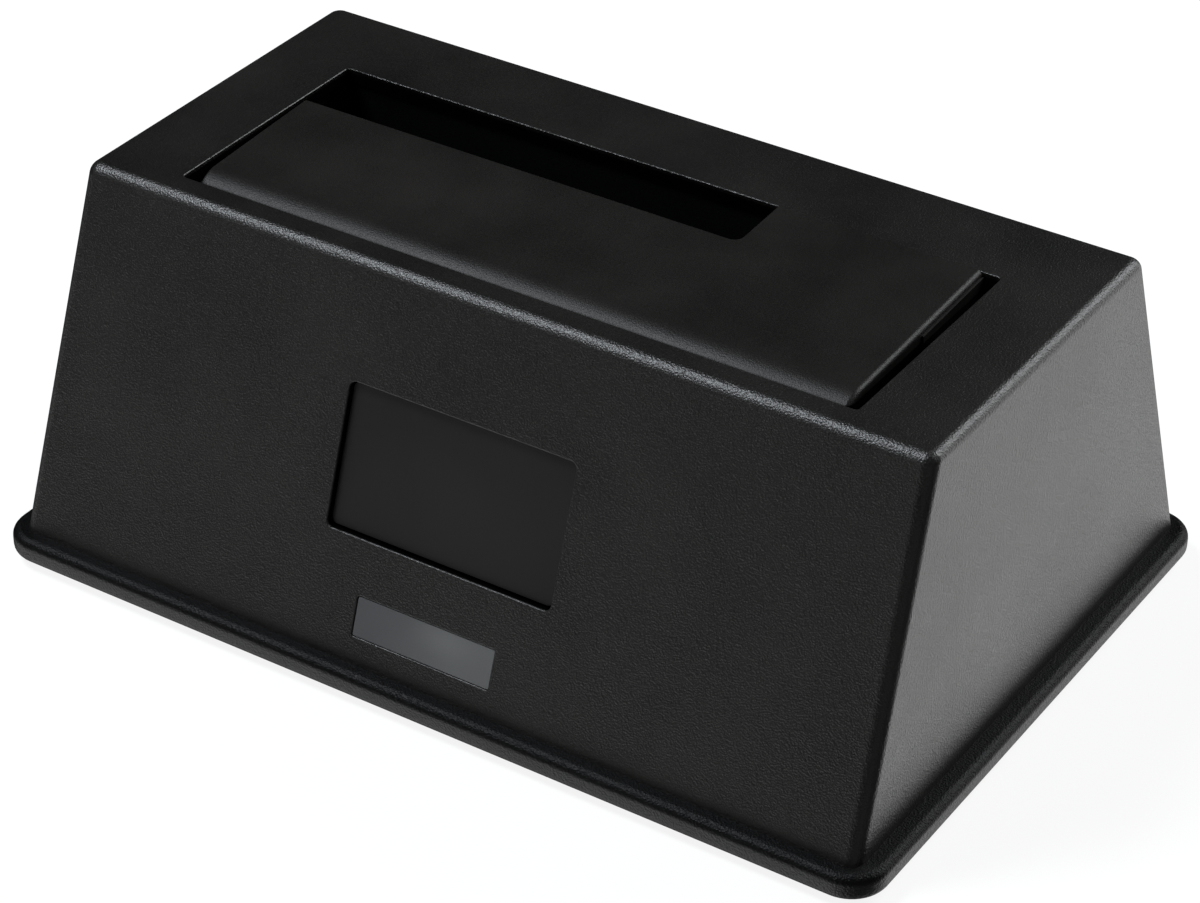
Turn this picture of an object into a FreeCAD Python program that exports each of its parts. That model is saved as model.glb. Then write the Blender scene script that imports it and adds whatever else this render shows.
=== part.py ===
import FreeCAD, Part
import math
import os

# A desk docking station for one hard drive. A moulded housing stands on a base cover whose bead
# shows all round. A drive goes in through the sprung flap in the roof, onto a socket on the main
# board. Front is -Y and up is +Z. The origin is on the table, under the middle of the base.

V = FreeCAD.Vector
ALONG_X = V(1, 0, 0)
ALONG_Y = V(0, 1, 0)
ALONG_Z = V(0, 0, 1)

# The two drives that the dock takes
drive_width = 101.6
drive_thickness = 26.1
small_drive_width = 69.85
small_drive_thickness = 9.5

# Housing, a hollow frustum: steep ends, and a front and back that lean in
roof_length = 130.4
roof_depth = 57.0
skirt_length = 133.6
skirt_depth = 91.0
housing_height = 51.0
housing_wall = 2.2
corner_radius = 1.9
roof_edge_radius = 1.8

# Drive opening in the roof
drive_side_play = 1.2
fold_room = 11.4
front_strip = 4.4
opening_corner_radius = 0.6
opening_draft = 6.0
opening_edge_radius = 0.25

# Base cover, a tray with a bead round its edge
bead_thickness = 3.8
bead_out_ends = 2.95
bead_out_sides = 2.45
bead_corner_radius = 5.5
bead_edge_radius = 1.3
base_floor = 2.0
lip_height = 2.6
lip_wall = 1.5
lip_gap = 0.15
lip_inner_radius = 1.5
vent_count = 7
vent_length = 16.0
vent_width = 2.0
vent_pitch = 7.0
vent_middle_y = -8.0
vent_row_gap = 4.0
vent_end_flat = 0.1

# Rubber feet
foot_radius = 5.0
foot_stand = 1.0
foot_seat_depth = 0.6
foot_seat_gap = 0.1
foot_glue = 0.02
foot_inset_x = 11.9
foot_inset_y = 10.6

# Base screws and the long bosses that they go up into. Pieces of one moulding run a bite
# into each other.
screw_radius = 1.45
screw_hole_gap = 0.2
thread_gap = 0.02
screw_head_radius = 2.7
screw_head_height = 1.9
boss_radius = 3.2
bite = 0.5
base_boss_inset_x = 6.8
base_boss_y = 28.0
base_screw_length = 12.0
counterbore_gap = 0.4
screw_sink = 1.6
screw_tower_wall = 1.6
screw_tower_margin = 0.9
boss_end_gap = 0.1
boss_gusset_width = 1.6
boss_gusset_lift = 6.0
screw_cross_length = 3.0
screw_cross_width = 0.5
screw_cross_depth = 0.45
screw_end_gap = 0.5

# Front recess with its plate above the light window, both placed up the slope from the bead
recess_width = 35.4
recess_height = 20.4
recess_above_window = 7.7
recess_depth = 1.3
recess_corner_radius = 1.0
plate_thickness = 0.4
plate_gap = 0.12
window_width = 21.9
window_height = 5.7
window_above_bead = 3.8
window_corner_radius = 0.5
window_gap = 0.1
window_set_back = 0.25
window_flange = 1.3
window_flange_thickness = 1.0
guide_width = 16.0
guide_height = 3.6
guide_depth = 1.9
guide_slot = 1.0
guide_corner_radius = 0.4

# Rear port panel, upright in the leaning back
panel_y = 38.5
panel_half_width = 33.0
panel_ledge = 1.8
wall_rib_first_x = 26.0
wall_rib_pitch = 20.0
wall_rib_width = 1.2
wall_rib_depth = 1.8
wall_rib_height = 36.0
port_gap = 0.25

# Drive well below the opening
well_wall = 1.6
well_margin_ends = 1.4
well_margin_sides = 0.6
well_floor_thickness = 1.6
well_floor_lift = 3.4
well_corner_radius = 2.0
drive_rear_play = 0.5
pad_play = 0.3
pad_front_y = 1.0
pad_height = 27.0
pad_clearance = 0.7
rear_rib_height = 24.0
rear_rib_width = 1.6
rear_rib_count = 4
rear_rib_pitch = 30.0
rear_rib_play = 0.2
lug_thickness = 1.8
lug_drop = 6.0
lug_inset = 6.4
lug_rib = 0.8
lug_rib_drop = 6.5
lug_rib_nose = 1.0
lug_post_radius = 3.0
lug_front_y = -8.0
lug_rear_y = 10.0
lug_screw_length = 5.6
ear_length = 2.0
ear_radius = 3.2
ear_cap = 0.7

# Flap, its knuckles and its stops
hinge_from_front = 4.6
hinge_below_roof = 5.9
flap_skin = 1.7
flap_nose_radius = 6.0
flap_nose_gap = 0.5
flap_rear_gap = 0.35
flap_left_gap = 0.4
flap_right_gap = 2.6
flap_rise = 0.3
flap_tilt = 2.5
flap_edge_radius = 0.7
flap_rib_drop = 1.5
flap_rib_width = 1.4
flap_rib_count = 5
slot_side_play = 1.15
slot_front_play = 0.95
slot_corner_radius = 1.5
knuckle_radius = 2.7
end_knuckle = 6.2
spring_room = 8.4
inner_knuckle = 6.8
middle_knuckle = 8.0
stop_gap = 0.2
stop_thickness = 1.6
stop_reach = 0.8
right_stop_length = 13.5
left_stop_length = 14.0
stop_end_gap = 0.6

# Flap shaft and torsion springs
shaft_radius = 1.0
shaft_running_gap = 0.05
shaft_fit_gap = 0.01
shaft_end_gap = 0.4
spring_wire = 0.5
spring_coil_radius = 1.6
spring_pitch = 0.72
spring_turns = 4
spring_leg_up = 8.0
spring_leg_down = 11.0
spring_rest_height = 5.0
spring_rest_width = 3.0
spring_seat_gap = 0.05
spring_seat_length = 2.0
spring_seat_width = 3.0
spring_seat_short = 0.5
shaft_chamfer = 0.25

# Main board
standoff_height = 4.0
standoff_radius = 2.9
board_thickness = 1.6
board_half_length = 52.0
board_behind_guide = 0.54
board_rear_gap = 0.3
board_screw_x = 47.0
board_screw_front_y = -33.0
board_screw_rear_y = 20.0
board_screw_length = 5.0
board_post_offset = 15.0
board_post_radius = 2.0

# Drive socket: one long body with a power slot and a signal slot
socket_length = 42.8
socket_width = 6.0
socket_height = 10.5
socket_left_inset = 10.7
socket_from_drive_back = 3.5
socket_slot_width = 2.5
socket_slot_depth = 5.6
power_slot_length = 21.0
signal_slot_length = 11.0
slot_divider = 2.4
key_length = 1.6
key_width = 1.3
contact_pitch = 1.27
contact_width = 0.7
contact_thickness = 0.25
power_contacts = 15
signal_contacts = 7
socket_floor_gap = 0.4
socket_edge_wall = 1.3
socket_end_bevel = 1.2
socket_end_bevel_height = 2.5
socket_relief = 0.8
socket_relief_inset = 3.0
contact_short = 0.8

# USB socket, type B for the faster standard
usb_x = -2.0
usb_width = 12.0
usb_height = 12.8
usb_depth = 16.0
usb_sheet = 0.4
usb_stand_out = 0.2
usb_lower_width = 8.5
usb_lower_height = 7.4
usb_upper_width = 6.0
usb_upper_height = 2.8
usb_cavity_depth = 9.0
usb_tongue_width = 5.4
usb_tongue_height = 3.0
usb_tongue_short = 1.4
usb_upper_tongue_height = 0.9
usb_floor = 0.9
usb_shoulder = 1.6
usb_insert_set_back = 0.3
usb_insert_gap = 0.02
usb_contact_thickness = 0.2
usb_lower_contact_x = 1.25
usb_lower_contact_width = 0.8
usb_upper_contact_pitch = 0.95
usb_upper_contact_width = 0.5
usb_upper_contacts = 5

# DC socket
dc_x = 20.0
dc_width = 9.0
dc_height = 11.0
dc_depth = 14.2
dc_bore_radius = 3.2
dc_bore_depth = 9.5
dc_bore_lift = 6.5
dc_pin_radius = 1.0
dc_pin_short = 0.8
dc_leaf_thickness = 0.3
dc_leaf_width = 2.4
dc_leaf_short = 3.0
dc_nose_wall = 0.5
dc_pin_root = 2.0

# Power switch with its button
switch_x = -23.0
switch_width = 8.0
switch_depth = 8.5
switch_height = 7.6
switch_room = 2.4
button_width = 9.0
button_height = 5.0
button_corner_radius = 1.2
button_proud = 2.0
button_travel = 1.5
button_gap = 0.3
button_flange = 1.2
button_flange_thickness = 1.0
button_stem = 3.0
button_lift = 4.2
button_bore_depth = 6.4
button_stem_in_bore = 1.6
button_crown = 0.5
button_spring_wire = 0.3
button_spring_radius = 1.1
button_spring_turns = 4

# Small parts on the board: place along X and Y, then length, width and height
bridge_chip = (14.0, -6.0, 9.0, 9.0, 1.0)
memory_chip = (27.0, -8.0, 5.0, 4.0, 1.5)
crystal = (14.0, -16.0, 5.0, 3.2, 1.1)
regulator = (6.5, 3.5, 1.6)
regulator_places = [(35.0, 19.5), (-35.0, 22.0)]
ceramic = (2.0, 1.25, 0.9)
ceramic_columns = [6.0, 10.0, 18.0, 22.0]
ceramic_rows = [-22.0, 1.5]
inductor_place = (35.0, 27.0)
inductor_side = 7.0
inductor_height = 3.0
can_radius = 3.15
can_height = 7.7
can_base_margin = 0.3
can_base_height = 1.0
can_places = [(46.0, 30.0), (-45.0, 30.0)]
lamp_x = 5.0
lamp_width = 3.0
lamp_height = 2.4
lamp_lens_radius = 0.9

# Heights and places that follow from the sizes above
bead_top = foot_stand + bead_thickness
base_inside = foot_stand + base_floor
roof_top = bead_top + housing_height
roof_under = roof_top - housing_wall
slope_drop = (skirt_depth - roof_depth) / 2
slope_angle = math.degrees(math.atan2(slope_drop, housing_height))
slope_wall = housing_wall / math.cos(math.radians(slope_angle))
slope_length = math.hypot(housing_height, slope_drop)
window_from_roof = slope_length - window_above_bead - window_height
recess_from_roof = window_from_roof - recess_above_window - recess_height
guide_from_roof = window_from_roof + (window_height - guide_height) / 2
guide_back = housing_wall + window_flange_thickness + guide_depth
guide_rear_y = (
    -roof_depth / 2
    - guide_from_roof * slope_drop / slope_length
    + guide_back * housing_height / slope_length
)
opening_front_y = front_strip - roof_depth / 2
opening_rear_y = opening_front_y + fold_room + drive_thickness
opening_half_length = drive_width / 2 + drive_side_play
drive_back_y = opening_rear_y - drive_rear_play
board_under = base_inside + standoff_height
board_top = board_under + board_thickness
board_front_y = guide_rear_y + board_behind_guide
panel_inner_y = panel_y - housing_wall
board_rear_y = panel_inner_y - board_rear_gap
hinge_y = opening_front_y + hinge_from_front
hinge_z = roof_top - hinge_below_roof
well_floor_under = board_top + well_floor_lift
well_floor_top = well_floor_under + well_floor_thickness
well_half_length = opening_half_length + well_margin_ends
well_rear_y = opening_rear_y + well_margin_sides
well_front_y = opening_front_y - well_margin_sides
ear_outer_x = well_half_length + well_wall + ear_length
lug_top = roof_under - lug_drop
lug_x = well_half_length + well_wall + lug_inset / 2
base_boss_x = skirt_length / 2 - base_boss_inset_x
foot_x = skirt_length / 2 + bead_out_ends - foot_inset_x
foot_y = skirt_depth / 2 + bead_out_sides - foot_inset_y
screw_seat = foot_stand + screw_head_height + screw_sink
flap_left_x = -opening_half_length + flap_left_gap
flap_right_x = opening_half_length - flap_right_gap
flap_rear_y = opening_rear_y - flap_rear_gap
slot_right_x = -opening_half_length + small_drive_width + slot_side_play
slot_front_y = flap_rear_y - small_drive_thickness - slot_front_play
lug_y = [lug_front_y, lug_rear_y]
board_screw_y = [board_screw_front_y, board_screw_rear_y]
left_spring_x = flap_left_x + end_knuckle + spring_room / 2
right_spring_x = flap_right_x - end_knuckle - spring_room / 2
socket_x = -drive_width / 2 + socket_left_inset + socket_length / 2 - socket_edge_wall
socket_y = drive_back_y - socket_from_drive_back


def box(x, y, z):
    """A block between three pairs of limits."""
    corner = V(min(x), min(y), min(z))
    return Part.makeBox(max(x) - min(x), max(y) - min(y), max(z) - min(z), corner)


def post(x, y, z, radius):
    """An upright cylinder between two heights."""
    return Part.makeCylinder(radius, max(z) - min(z), V(x, y, min(z)), ALONG_Z)


def rod(x, y, z, radius):
    """A cylinder along X between two places."""
    return Part.makeCylinder(radius, max(x) - min(x), V(min(x), y, z), ALONG_X)


def face_of(points):
    """A flat face inside a closed outline of straight edges."""
    return Part.Face(Part.makePolygon(points + points[:1]))


def rounded_plate(width, height, radius, thickness):
    """A plate round the local origin, lying on local XY, with round upright corners."""
    plate = Part.makeBox(width, height, thickness, V(-width / 2, -height / 2, 0))
    return plate.makeFillet(radius, upright_edges(plate))


def upright_edges(shape):
    """The straight edges of a shape that stand along Z."""
    found = []
    for edge in shape.Edges:
        if isinstance(edge.Curve, Part.Line) and abs(edge.tangentAt(edge.FirstParameter).z) > 0.999:
            found.append(edge)
    return found


def joined(shapes):
    """One solid out of several that touch or overlap."""
    whole = shapes[0].multiFuse(shapes[1:]) if len(shapes) > 1 else shapes[0]
    return whole.removeSplitter()


def both_ends(shape):
    """A shape and its mirror image across the middle plane."""
    return [shape, shape.mirror(V(0, 0, 0), ALONG_X)]


def frustum(inset_ends, inset_sides, low, high):
    """The housing's form between two heights, with its ends and its front and back set in."""
    def half(roof, skirt, z, inset):
        share = (z - bead_top) / housing_height
        return skirt / 2 + (roof - skirt) / 2 * share - inset

    def trapezoid(roof, skirt, inset, turn):
        lower = half(roof, skirt, low, inset)
        upper = half(roof, skirt, high, inset)
        return face_of([turn(-lower, low), turn(lower, low), turn(upper, high), turn(-upper, high)])

    span_x = skirt_length
    span_y = skirt_depth
    across = trapezoid(roof_depth, skirt_depth, inset_sides, lambda a, z: V(-span_x, a, z))
    along = trapezoid(roof_length, skirt_length, inset_ends, lambda a, z: V(a, -span_y, z))
    return across.extrude(V(2 * span_x, 0, 0)).common(along.extrude(V(0, 2 * span_y, 0)))


def on_front(shape):
    """Carries a shape from a flat drawing onto the leaning front: Y up the slope, Z outwards."""
    leaning = FreeCAD.Placement(
        V(0, -roof_depth / 2, roof_top), FreeCAD.Rotation(ALONG_X, 90 - slope_angle)
    )
    placed = shape.copy()
    placed.Placement = leaning.multiply(placed.Placement)
    return placed


def front_plate(width, height, from_roof, radius, inner, outer):
    """A rounded plate on the leaning front, between two depths counted outwards from its skin."""
    plate = rounded_plate(width, height, radius, outer - inner)
    plate.translate(V(0, -from_roof - height / 2, inner))
    return on_front(plate)


def outline(half_x, half_y, radius, low, high):
    """A plate with round corners about the origin, between two heights."""
    plate = rounded_plate(2 * half_x, 2 * half_y, radius, high - low)
    plate.translate(V(0, 0, low))
    return plate


def opening_cutter():
    """The drive opening, a little wider below than above so that the flap swings free of it."""
    spread = housing_wall * math.tan(math.radians(opening_draft))
    wires = []
    for z, grow in ((roof_under, spread), (roof_top, 0.0)):
        width = 2 * (opening_half_length + grow)
        depth = opening_rear_y - opening_front_y + 2 * grow
        plate = rounded_plate(width, depth, opening_corner_radius + grow, 1.0)
        plate.translate(V(0, (opening_rear_y + opening_front_y) / 2, z))
        bottom = min(plate.Faces, key=lambda f: f.CenterOfMass.z)
        wires.append(bottom.OuterWire)
    return Part.makeLoft(wires, True, True)


def housing():
    """The moulded upper shell: frustum, drive opening, recess, window, port panel and bosses."""
    outer = frustum(0, 0, bead_top, roof_top)
    leaning = [e for e in outer.Edges if e.BoundBox.ZLength > housing_height / 2]
    outer = outer.makeFillet(corner_radius, leaning)
    rim = [e for e in outer.Edges if e.BoundBox.ZMin > roof_top - 0.01]
    outer = outer.makeFillet(roof_edge_radius, rim)

    panel_x = panel_half_width + housing_wall
    cavity = frustum(housing_wall, slope_wall, bead_top - 1, roof_under)
    cavity = cavity.cut(
        box((-panel_x, panel_x), (panel_inner_y, skirt_depth), (bead_top - 2, roof_under + 1))
    )
    shell = outer.cut(cavity)

    mounts = []
    for side in (-1, 1):
        for end in (-1, 1):
            mounts.append(
                post(end * base_boss_x, side * base_boss_y, (base_boss_bottom(), roof_top - 1), boss_radius)
            )
            gusset_x = (end * base_boss_x, end * (skirt_length / 2 - bite))
            middle_y = side * base_boss_y
            gusset_y = (middle_y - boss_gusset_width / 2, middle_y + boss_gusset_width / 2)
            gusset_z = (base_boss_bottom() + boss_gusset_lift, roof_top - 1)
            mounts.append(box(gusset_x, gusset_y, gusset_z))
    for end in (-1, 1):
        for y in lug_y:
            mounts.append(post(end * lug_x, y, (lug_top, roof_top - 1), lug_post_radius))
    mounts.extend(wall_ribs())
    mounts = [m.common(outer) for m in mounts]
    shell = joined([shell] + mounts)

    cutters = [opening_cutter()]
    cutters.append(
        front_plate(recess_width, recess_height, recess_from_roof, recess_corner_radius, -recess_depth, 1)
    )
    cutters.append(
        front_plate(
            window_width, window_height, window_from_roof, window_corner_radius, -2 * housing_wall, 1
        )
    )
    cutters.append(
        box(
            (-panel_half_width, panel_half_width),
            (panel_y, skirt_depth),
            (bead_top + panel_ledge, roof_top),
        )
    )
    cutters.extend(port_holes())
    for side in (-1, 1):
        for end in (-1, 1):
            depth = (base_boss_bottom() - 1, base_boss_bottom() + base_screw_length)
            cutters.append(post(end * base_boss_x, side * base_boss_y, depth, screw_radius + thread_gap))
    for end in (-1, 1):
        for y in lug_y:
            depth = (lug_top - 1, lug_top + lug_screw_length)
            cutters.append(post(end * lug_x, y, depth, screw_radius + thread_gap))
    shell = shell.cut(Part.makeCompound(cutters))
    return shell.makeFillet(opening_edge_radius, opening_edges(shell))


def opening_edges(shell):
    """The top edges of the drive opening, straight sides and corners."""
    found = []
    for edge in shell.Edges:
        b = edge.BoundBox
        inside = b.XMax < opening_half_length + 0.01 and b.XMin > -opening_half_length - 0.01
        if b.ZMin > roof_top - 0.01 and inside and abs(b.YMax) < roof_depth / 2 - roof_edge_radius - 0.01:
            found.append(edge)
    return found


def wall_ribs():
    """The upright ribs that stiffen the inside of the front wall, tapering out towards the roof."""
    foot_z = bead_top + lip_height + bite
    wall_foot = -skirt_depth / 2 + slope_wall + (foot_z - bead_top) * slope_drop / housing_height
    wall_head = wall_foot + wall_rib_height * slope_drop / housing_height
    ribs = []
    places = [wall_rib_first_x, wall_rib_first_x + wall_rib_pitch]
    for x in places + [-place for place in places]:
        section = face_of(
            [
                V(x - wall_rib_width / 2, wall_foot - bite, foot_z),
                V(x - wall_rib_width / 2, wall_foot + wall_rib_depth, foot_z),
                V(x - wall_rib_width / 2, wall_head + 0.2, foot_z + wall_rib_height),
                V(x - wall_rib_width / 2, wall_head - bite, foot_z + wall_rib_height),
            ]
        )
        ribs.append(section.extrude(V(wall_rib_width, 0, 0)))
    return ribs


def base_boss_bottom():
    """The height at which the housing's long bosses end, above the base's screw towers."""
    return screw_seat + screw_tower_wall + boss_end_gap


def port_holes():
    """The holes in the port panel for the USB socket, the DC socket and the button."""
    through = (panel_inner_y - 1, panel_y + 1)
    holes = [
        box(
            (usb_x - usb_width / 2 - port_gap, usb_x + usb_width / 2 + port_gap),
            through,
            (board_top - port_gap, board_top + usb_height + port_gap),
        )
    ]
    lift = board_top + dc_bore_lift
    dc_hole = dc_bore_radius + dc_nose_wall + port_gap
    holes.append(
        Part.makeCylinder(dc_hole, through[1] - through[0], V(dc_x, through[0], lift), ALONG_Y)
    )
    holes.append(button_plate(button_gap, through))
    return holes


def button_plate(grow, depth):
    """The button's rounded outline, grown by a gap, between two places along Y."""
    width = button_width + 2 * grow
    height = button_height + 2 * grow
    plate = rounded_plate(width, height, button_corner_radius + grow, depth[1] - depth[0])
    plate.Placement = FreeCAD.Placement(
        V(switch_x, depth[1], board_top + button_lift), FreeCAD.Rotation(ALONG_X, 90)
    )
    return plate


def base_cover():
    """The tray that closes the bottom: bead, floor, locating lip, towers, standoffs and vents."""
    half_x = skirt_length / 2 + bead_out_ends
    half_y = skirt_depth / 2 + bead_out_sides
    bead = outline(half_x, half_y, bead_corner_radius, foot_stand, bead_top)
    rims = [e for e in bead.Edges if e.BoundBox.ZLength < 0.01]
    bead = bead.makeFillet(bead_edge_radius, rims)

    lip_x = skirt_length / 2 - housing_wall - lip_gap
    lip_y = skirt_depth / 2 - slope_wall - lip_gap - lip_height * slope_drop / housing_height
    lip = outline(lip_x, lip_y, lip_inner_radius + lip_wall, base_inside, bead_top + lip_height)
    tray = outline(
        lip_x - lip_wall, lip_y - lip_wall, lip_inner_radius, base_inside, bead_top + lip_height + 1
    )
    panel_x = panel_half_width + housing_wall + lip_gap
    lip_cuts = [
        box((-panel_x, panel_x), (panel_inner_y - lip_gap, skirt_depth), (bead_top, roof_top)),
        box(
            (-window_width / 2 - window_flange - 1, window_width / 2 + window_flange + 1),
            (-skirt_depth, -lip_y + lip_wall + bite),
            (bead_top, roof_top),
        ),
    ]
    tower_top = screw_seat + screw_tower_wall
    for side in (-1, 1):
        for end in (-1, 1):
            room = (tower_top, roof_top)
            lip_cuts.append(
                post(end * base_boss_x, side * base_boss_y, room, boss_radius + 2 * lip_gap)
            )
    lip = lip.cut(Part.makeCompound(lip_cuts))
    cover = joined([bead, lip]).cut(tray)

    towers = []
    holes = []
    for side in (-1, 1):
        for end in (-1, 1):
            x = end * base_boss_x
            y = side * base_boss_y
            towers.append(post(x, y, (foot_stand + bite, tower_top), boss_radius + screw_tower_margin))
            holes.append(post(x, y, (0, screw_seat), screw_head_radius + counterbore_gap))
            holes.append(post(x, y, (0, tower_top + 1), screw_radius + screw_hole_gap))
            foot_hole = post(
                end * foot_x, side * foot_y, (0, foot_stand + foot_seat_depth), foot_radius + foot_seat_gap
            )
            holes.append(foot_hole)
    for end in (-1, 1):
        for y in board_screw_y:
            towers.append(post(end * board_screw_x, y, (foot_stand + bite, board_under), standoff_radius))
            bore = post(
                end * board_screw_x,
                y,
                (board_top - board_screw_length, board_under + 1),
                screw_radius + thread_gap,
            )
            holes.append(bore)
        towers.append(
            post(
                socket_x + end * board_post_offset,
                socket_y,
                (foot_stand + bite, board_under),
                board_post_radius,
            )
        )
    for row in (-1, 1):
        for n in range(vent_count):
            x = (n - (vent_count - 1) / 2) * vent_pitch
            end_radius = (vent_width - vent_end_flat) / 2
            slot = rounded_plate(vent_width, vent_length, end_radius, bead_thickness)
            slot.translate(V(x, vent_middle_y + row * (vent_length + vent_row_gap) / 2, 0))
            holes.append(slot)
    return joined([cover] + towers).cut(Part.makeCompound(holes))


def foot(end, side):
    """One rubber foot, a disc with a rounded sole, seated in the base."""
    disc = post(
        end * foot_x, side * foot_y, (0, foot_stand + foot_seat_depth - foot_glue), foot_radius
    )
    sole = [e for e in disc.Edges if e.BoundBox.ZMax < 0.01]
    return disc.makeFillet(foot_stand / 2, sole)


def screw(x, y, seat, length, up):
    """A pan-head screw whose head bears on a seat, with its shank going up or down from it."""
    away = 1 if up else -1
    head = post(x, y, (seat, seat - away * screw_head_height), screw_head_radius)
    crown = [
        e for e in head.Edges
        if abs(e.BoundBox.Center.z - (seat - away * screw_head_height)) < 0.01
    ]
    head = head.makeFillet(screw_head_height / 3, crown)
    cross = []
    for turn in (0, 90):
        corner = V(-screw_cross_length / 2, -screw_cross_width / 2, -screw_cross_depth)
        bar = Part.makeBox(screw_cross_length, screw_cross_width, 2 * screw_cross_depth, corner)
        bar.rotate(V(0, 0, 0), ALONG_Z, turn)
        bar.translate(V(x, y, seat - away * screw_head_height))
        cross.append(bar)
    head = head.cut(Part.makeCompound(cross))
    shank = post(x, y, (seat - away * 0.2, seat + away * length), screw_radius)
    tip = [e for e in shank.Edges if abs(e.BoundBox.Center.z - (seat + away * length)) < 0.01]
    shank = shank.makeChamfer(screw_radius / 3, tip)
    return joined([head, shank])


def nameplate():
    """The bare plate in the front recess."""
    return front_plate(
        recess_width - 2 * plate_gap,
        recess_height - 2 * plate_gap,
        recess_from_roof + plate_gap,
        recess_corner_radius - plate_gap / 2,
        -recess_depth,
        -recess_depth + plate_thickness,
    )


def led_window():
    """The smoked lens: a plug that fills the cut-out and a flange glued behind the wall."""
    lens = front_plate(
        window_width - 2 * window_gap,
        window_height - 2 * window_gap,
        window_from_roof + window_gap,
        window_corner_radius - window_gap / 2,
        -housing_wall - window_flange_thickness / 2,
        -window_set_back,
    )
    flange = front_plate(
        window_width + 2 * window_flange,
        window_height + 2 * window_flange,
        window_from_roof - window_flange,
        window_corner_radius + window_flange / 2,
        -housing_wall - window_flange_thickness,
        -housing_wall,
    )
    return joined([lens, flange])


def light_guide():
    """The clear block behind the lens, slotted so that the two lamps stay apart."""
    front = guide_depth - guide_back
    block = front_plate(
        guide_width, guide_height, guide_from_roof, guide_corner_radius, -guide_back, front
    )
    slot = front_plate(
        guide_slot,
        guide_height + 1,
        guide_from_roof - 0.5,
        guide_slot / 10,
        -guide_back - 1,
        front - guide_depth / 3,
    )
    return block.cut(slot)


def flap_reach():
    """The distance from the hinge to the flap's far top corner."""
    return math.hypot(flap_rear_y - hinge_y, roof_top + flap_rise - hinge_z)


def drive_well():
    """The frame that guides the drive: four walls, a floor, ears, lugs, pads and ribs."""
    outer_x = well_half_length + well_wall
    depth = well_rear_y - well_front_y + 2 * well_wall
    middle_y = (well_rear_y + well_front_y) / 2
    body = outline(outer_x, depth / 2, well_corner_radius, well_floor_under, roof_under)
    room = outline(
        well_half_length,
        depth / 2 - well_wall,
        well_corner_radius - well_wall / 2,
        well_floor_top,
        roof_under + 1,
    )
    body = body.cut(room)
    body.translate(V(0, middle_y, 0))

    added = []
    for ear in both_ends(rod((outer_x - bite, ear_outer_x), hinge_y, hinge_z, ear_radius)):
        added.append(ear)
    for end in (-1, 1):
        for y in lug_y:
            added.append(post(end * lug_x, y, (lug_top - lug_thickness, lug_top), boss_radius))
            web_y = (y - boss_radius - bite, y + boss_radius + bite)
            web_under = lug_top - lug_thickness
            web = box((end * (outer_x - bite), end * lug_x), web_y, (web_under, lug_top))
            added.append(web)
            for rib_y in (web_y[0], web_y[1] - lug_rib):
                gusset = face_of(
                    [
                        V(end * (outer_x - bite), rib_y, web_under + bite),
                        V(end * (lug_x - bite), rib_y, web_under + bite),
                        V(end * (lug_x - bite), rib_y, web_under - lug_rib_nose),
                        V(end * (outer_x - bite), rib_y, web_under - lug_rib_nose - lug_rib_drop),
                    ]
                )
                added.append(gusset.extrude(V(0, lug_rib, 0)))
    added.extend(guide_pads())
    for n in range(rear_rib_count):
        x = (n - (rear_rib_count - 1) / 2) * rear_rib_pitch
        rib = box(
            (x - rear_rib_width / 2, x + rear_rib_width / 2),
            (drive_back_y + rear_rib_play, well_rear_y + bite),
            (well_floor_top - bite, well_floor_top + rear_rib_height),
        )
        added.append(rib)
    for x in spring_rest_places():
        rest = box(
            (x - spring_rest_width / 2, x + spring_rest_width / 2),
            (well_front_y - bite, hinge_y - spring_coil_radius - spring_wire / 2 - spring_seat_gap),
            (spring_rest_top() - spring_rest_height, spring_rest_top()),
        )
        added.append(rest)
    body = joined([body] + added)

    room_x = socket_length / 2 + socket_floor_gap
    room_y = socket_width / 2 + socket_floor_gap
    cuts = [
        box(
            (socket_x - room_x, socket_x + room_x),
            (socket_y - room_y, socket_y + room_y),
            (well_floor_under - 1, well_floor_top + 1),
        )
    ]
    bore_x = (-ear_outer_x + ear_cap, ear_outer_x + 1)
    cuts.append(rod(bore_x, hinge_y, hinge_z, shaft_radius + shaft_fit_gap))
    for end in (-1, 1):
        for y in lug_y:
            hole = (lug_top - lug_thickness - 1, lug_top + 1)
            cuts.append(post(end * lug_x, y, hole, screw_radius + screw_hole_gap))
    return body.cut(Part.makeCompound(cuts))


def guide_pads():
    """The pads that centre the wide drive, cut back along the path of the flap's far edge."""
    inner_x = drive_width / 2 + pad_play
    top = well_floor_top + pad_height
    rail = face_of(
        [
            V(inner_x, pad_front_y, well_floor_top - bite),
            V(well_half_length + bite, pad_front_y, well_floor_top - bite),
            V(well_half_length + bite, pad_front_y, top),
            V(well_half_length, pad_front_y, top),
            V(inner_x, pad_front_y, top - 2 * (well_half_length - inner_x)),
        ]
    ).extrude(V(0, well_rear_y + bite - pad_front_y, 0))
    reach = flap_reach() + pad_clearance
    sweep = rod((0, well_half_length + 1), hinge_y, hinge_z, reach)
    behind_hinge = box((0, well_half_length), (hinge_y, hinge_y + reach), (0, roof_top))
    return both_ends(rail.cut(sweep.common(behind_hinge)))


def spring_rest_top():
    """The height of the top of the ribs that hold the springs' fixed legs."""
    return hinge_z - spring_leg_down + spring_rest_height - bite


def spring_coil_length():
    """How far a torsion spring's coil runs along the shaft."""
    return spring_pitch * (spring_turns + 0.25)


def spring_rest_places():
    """Where each torsion spring's fixed leg stands along the shaft."""
    half = spring_coil_length() / 2
    return [left_spring_x + half, right_spring_x - half]


def spring_seat_places():
    """Where each torsion spring's moving leg lies along the shaft."""
    half = spring_coil_length() / 2
    return [left_spring_x - half, right_spring_x + half]


def flap_surface(y):
    """The height of the flap's flat top at a place along Y."""
    return roof_top + flap_rise - math.tan(math.radians(flap_tilt)) * (flap_rear_y - y)


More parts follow.
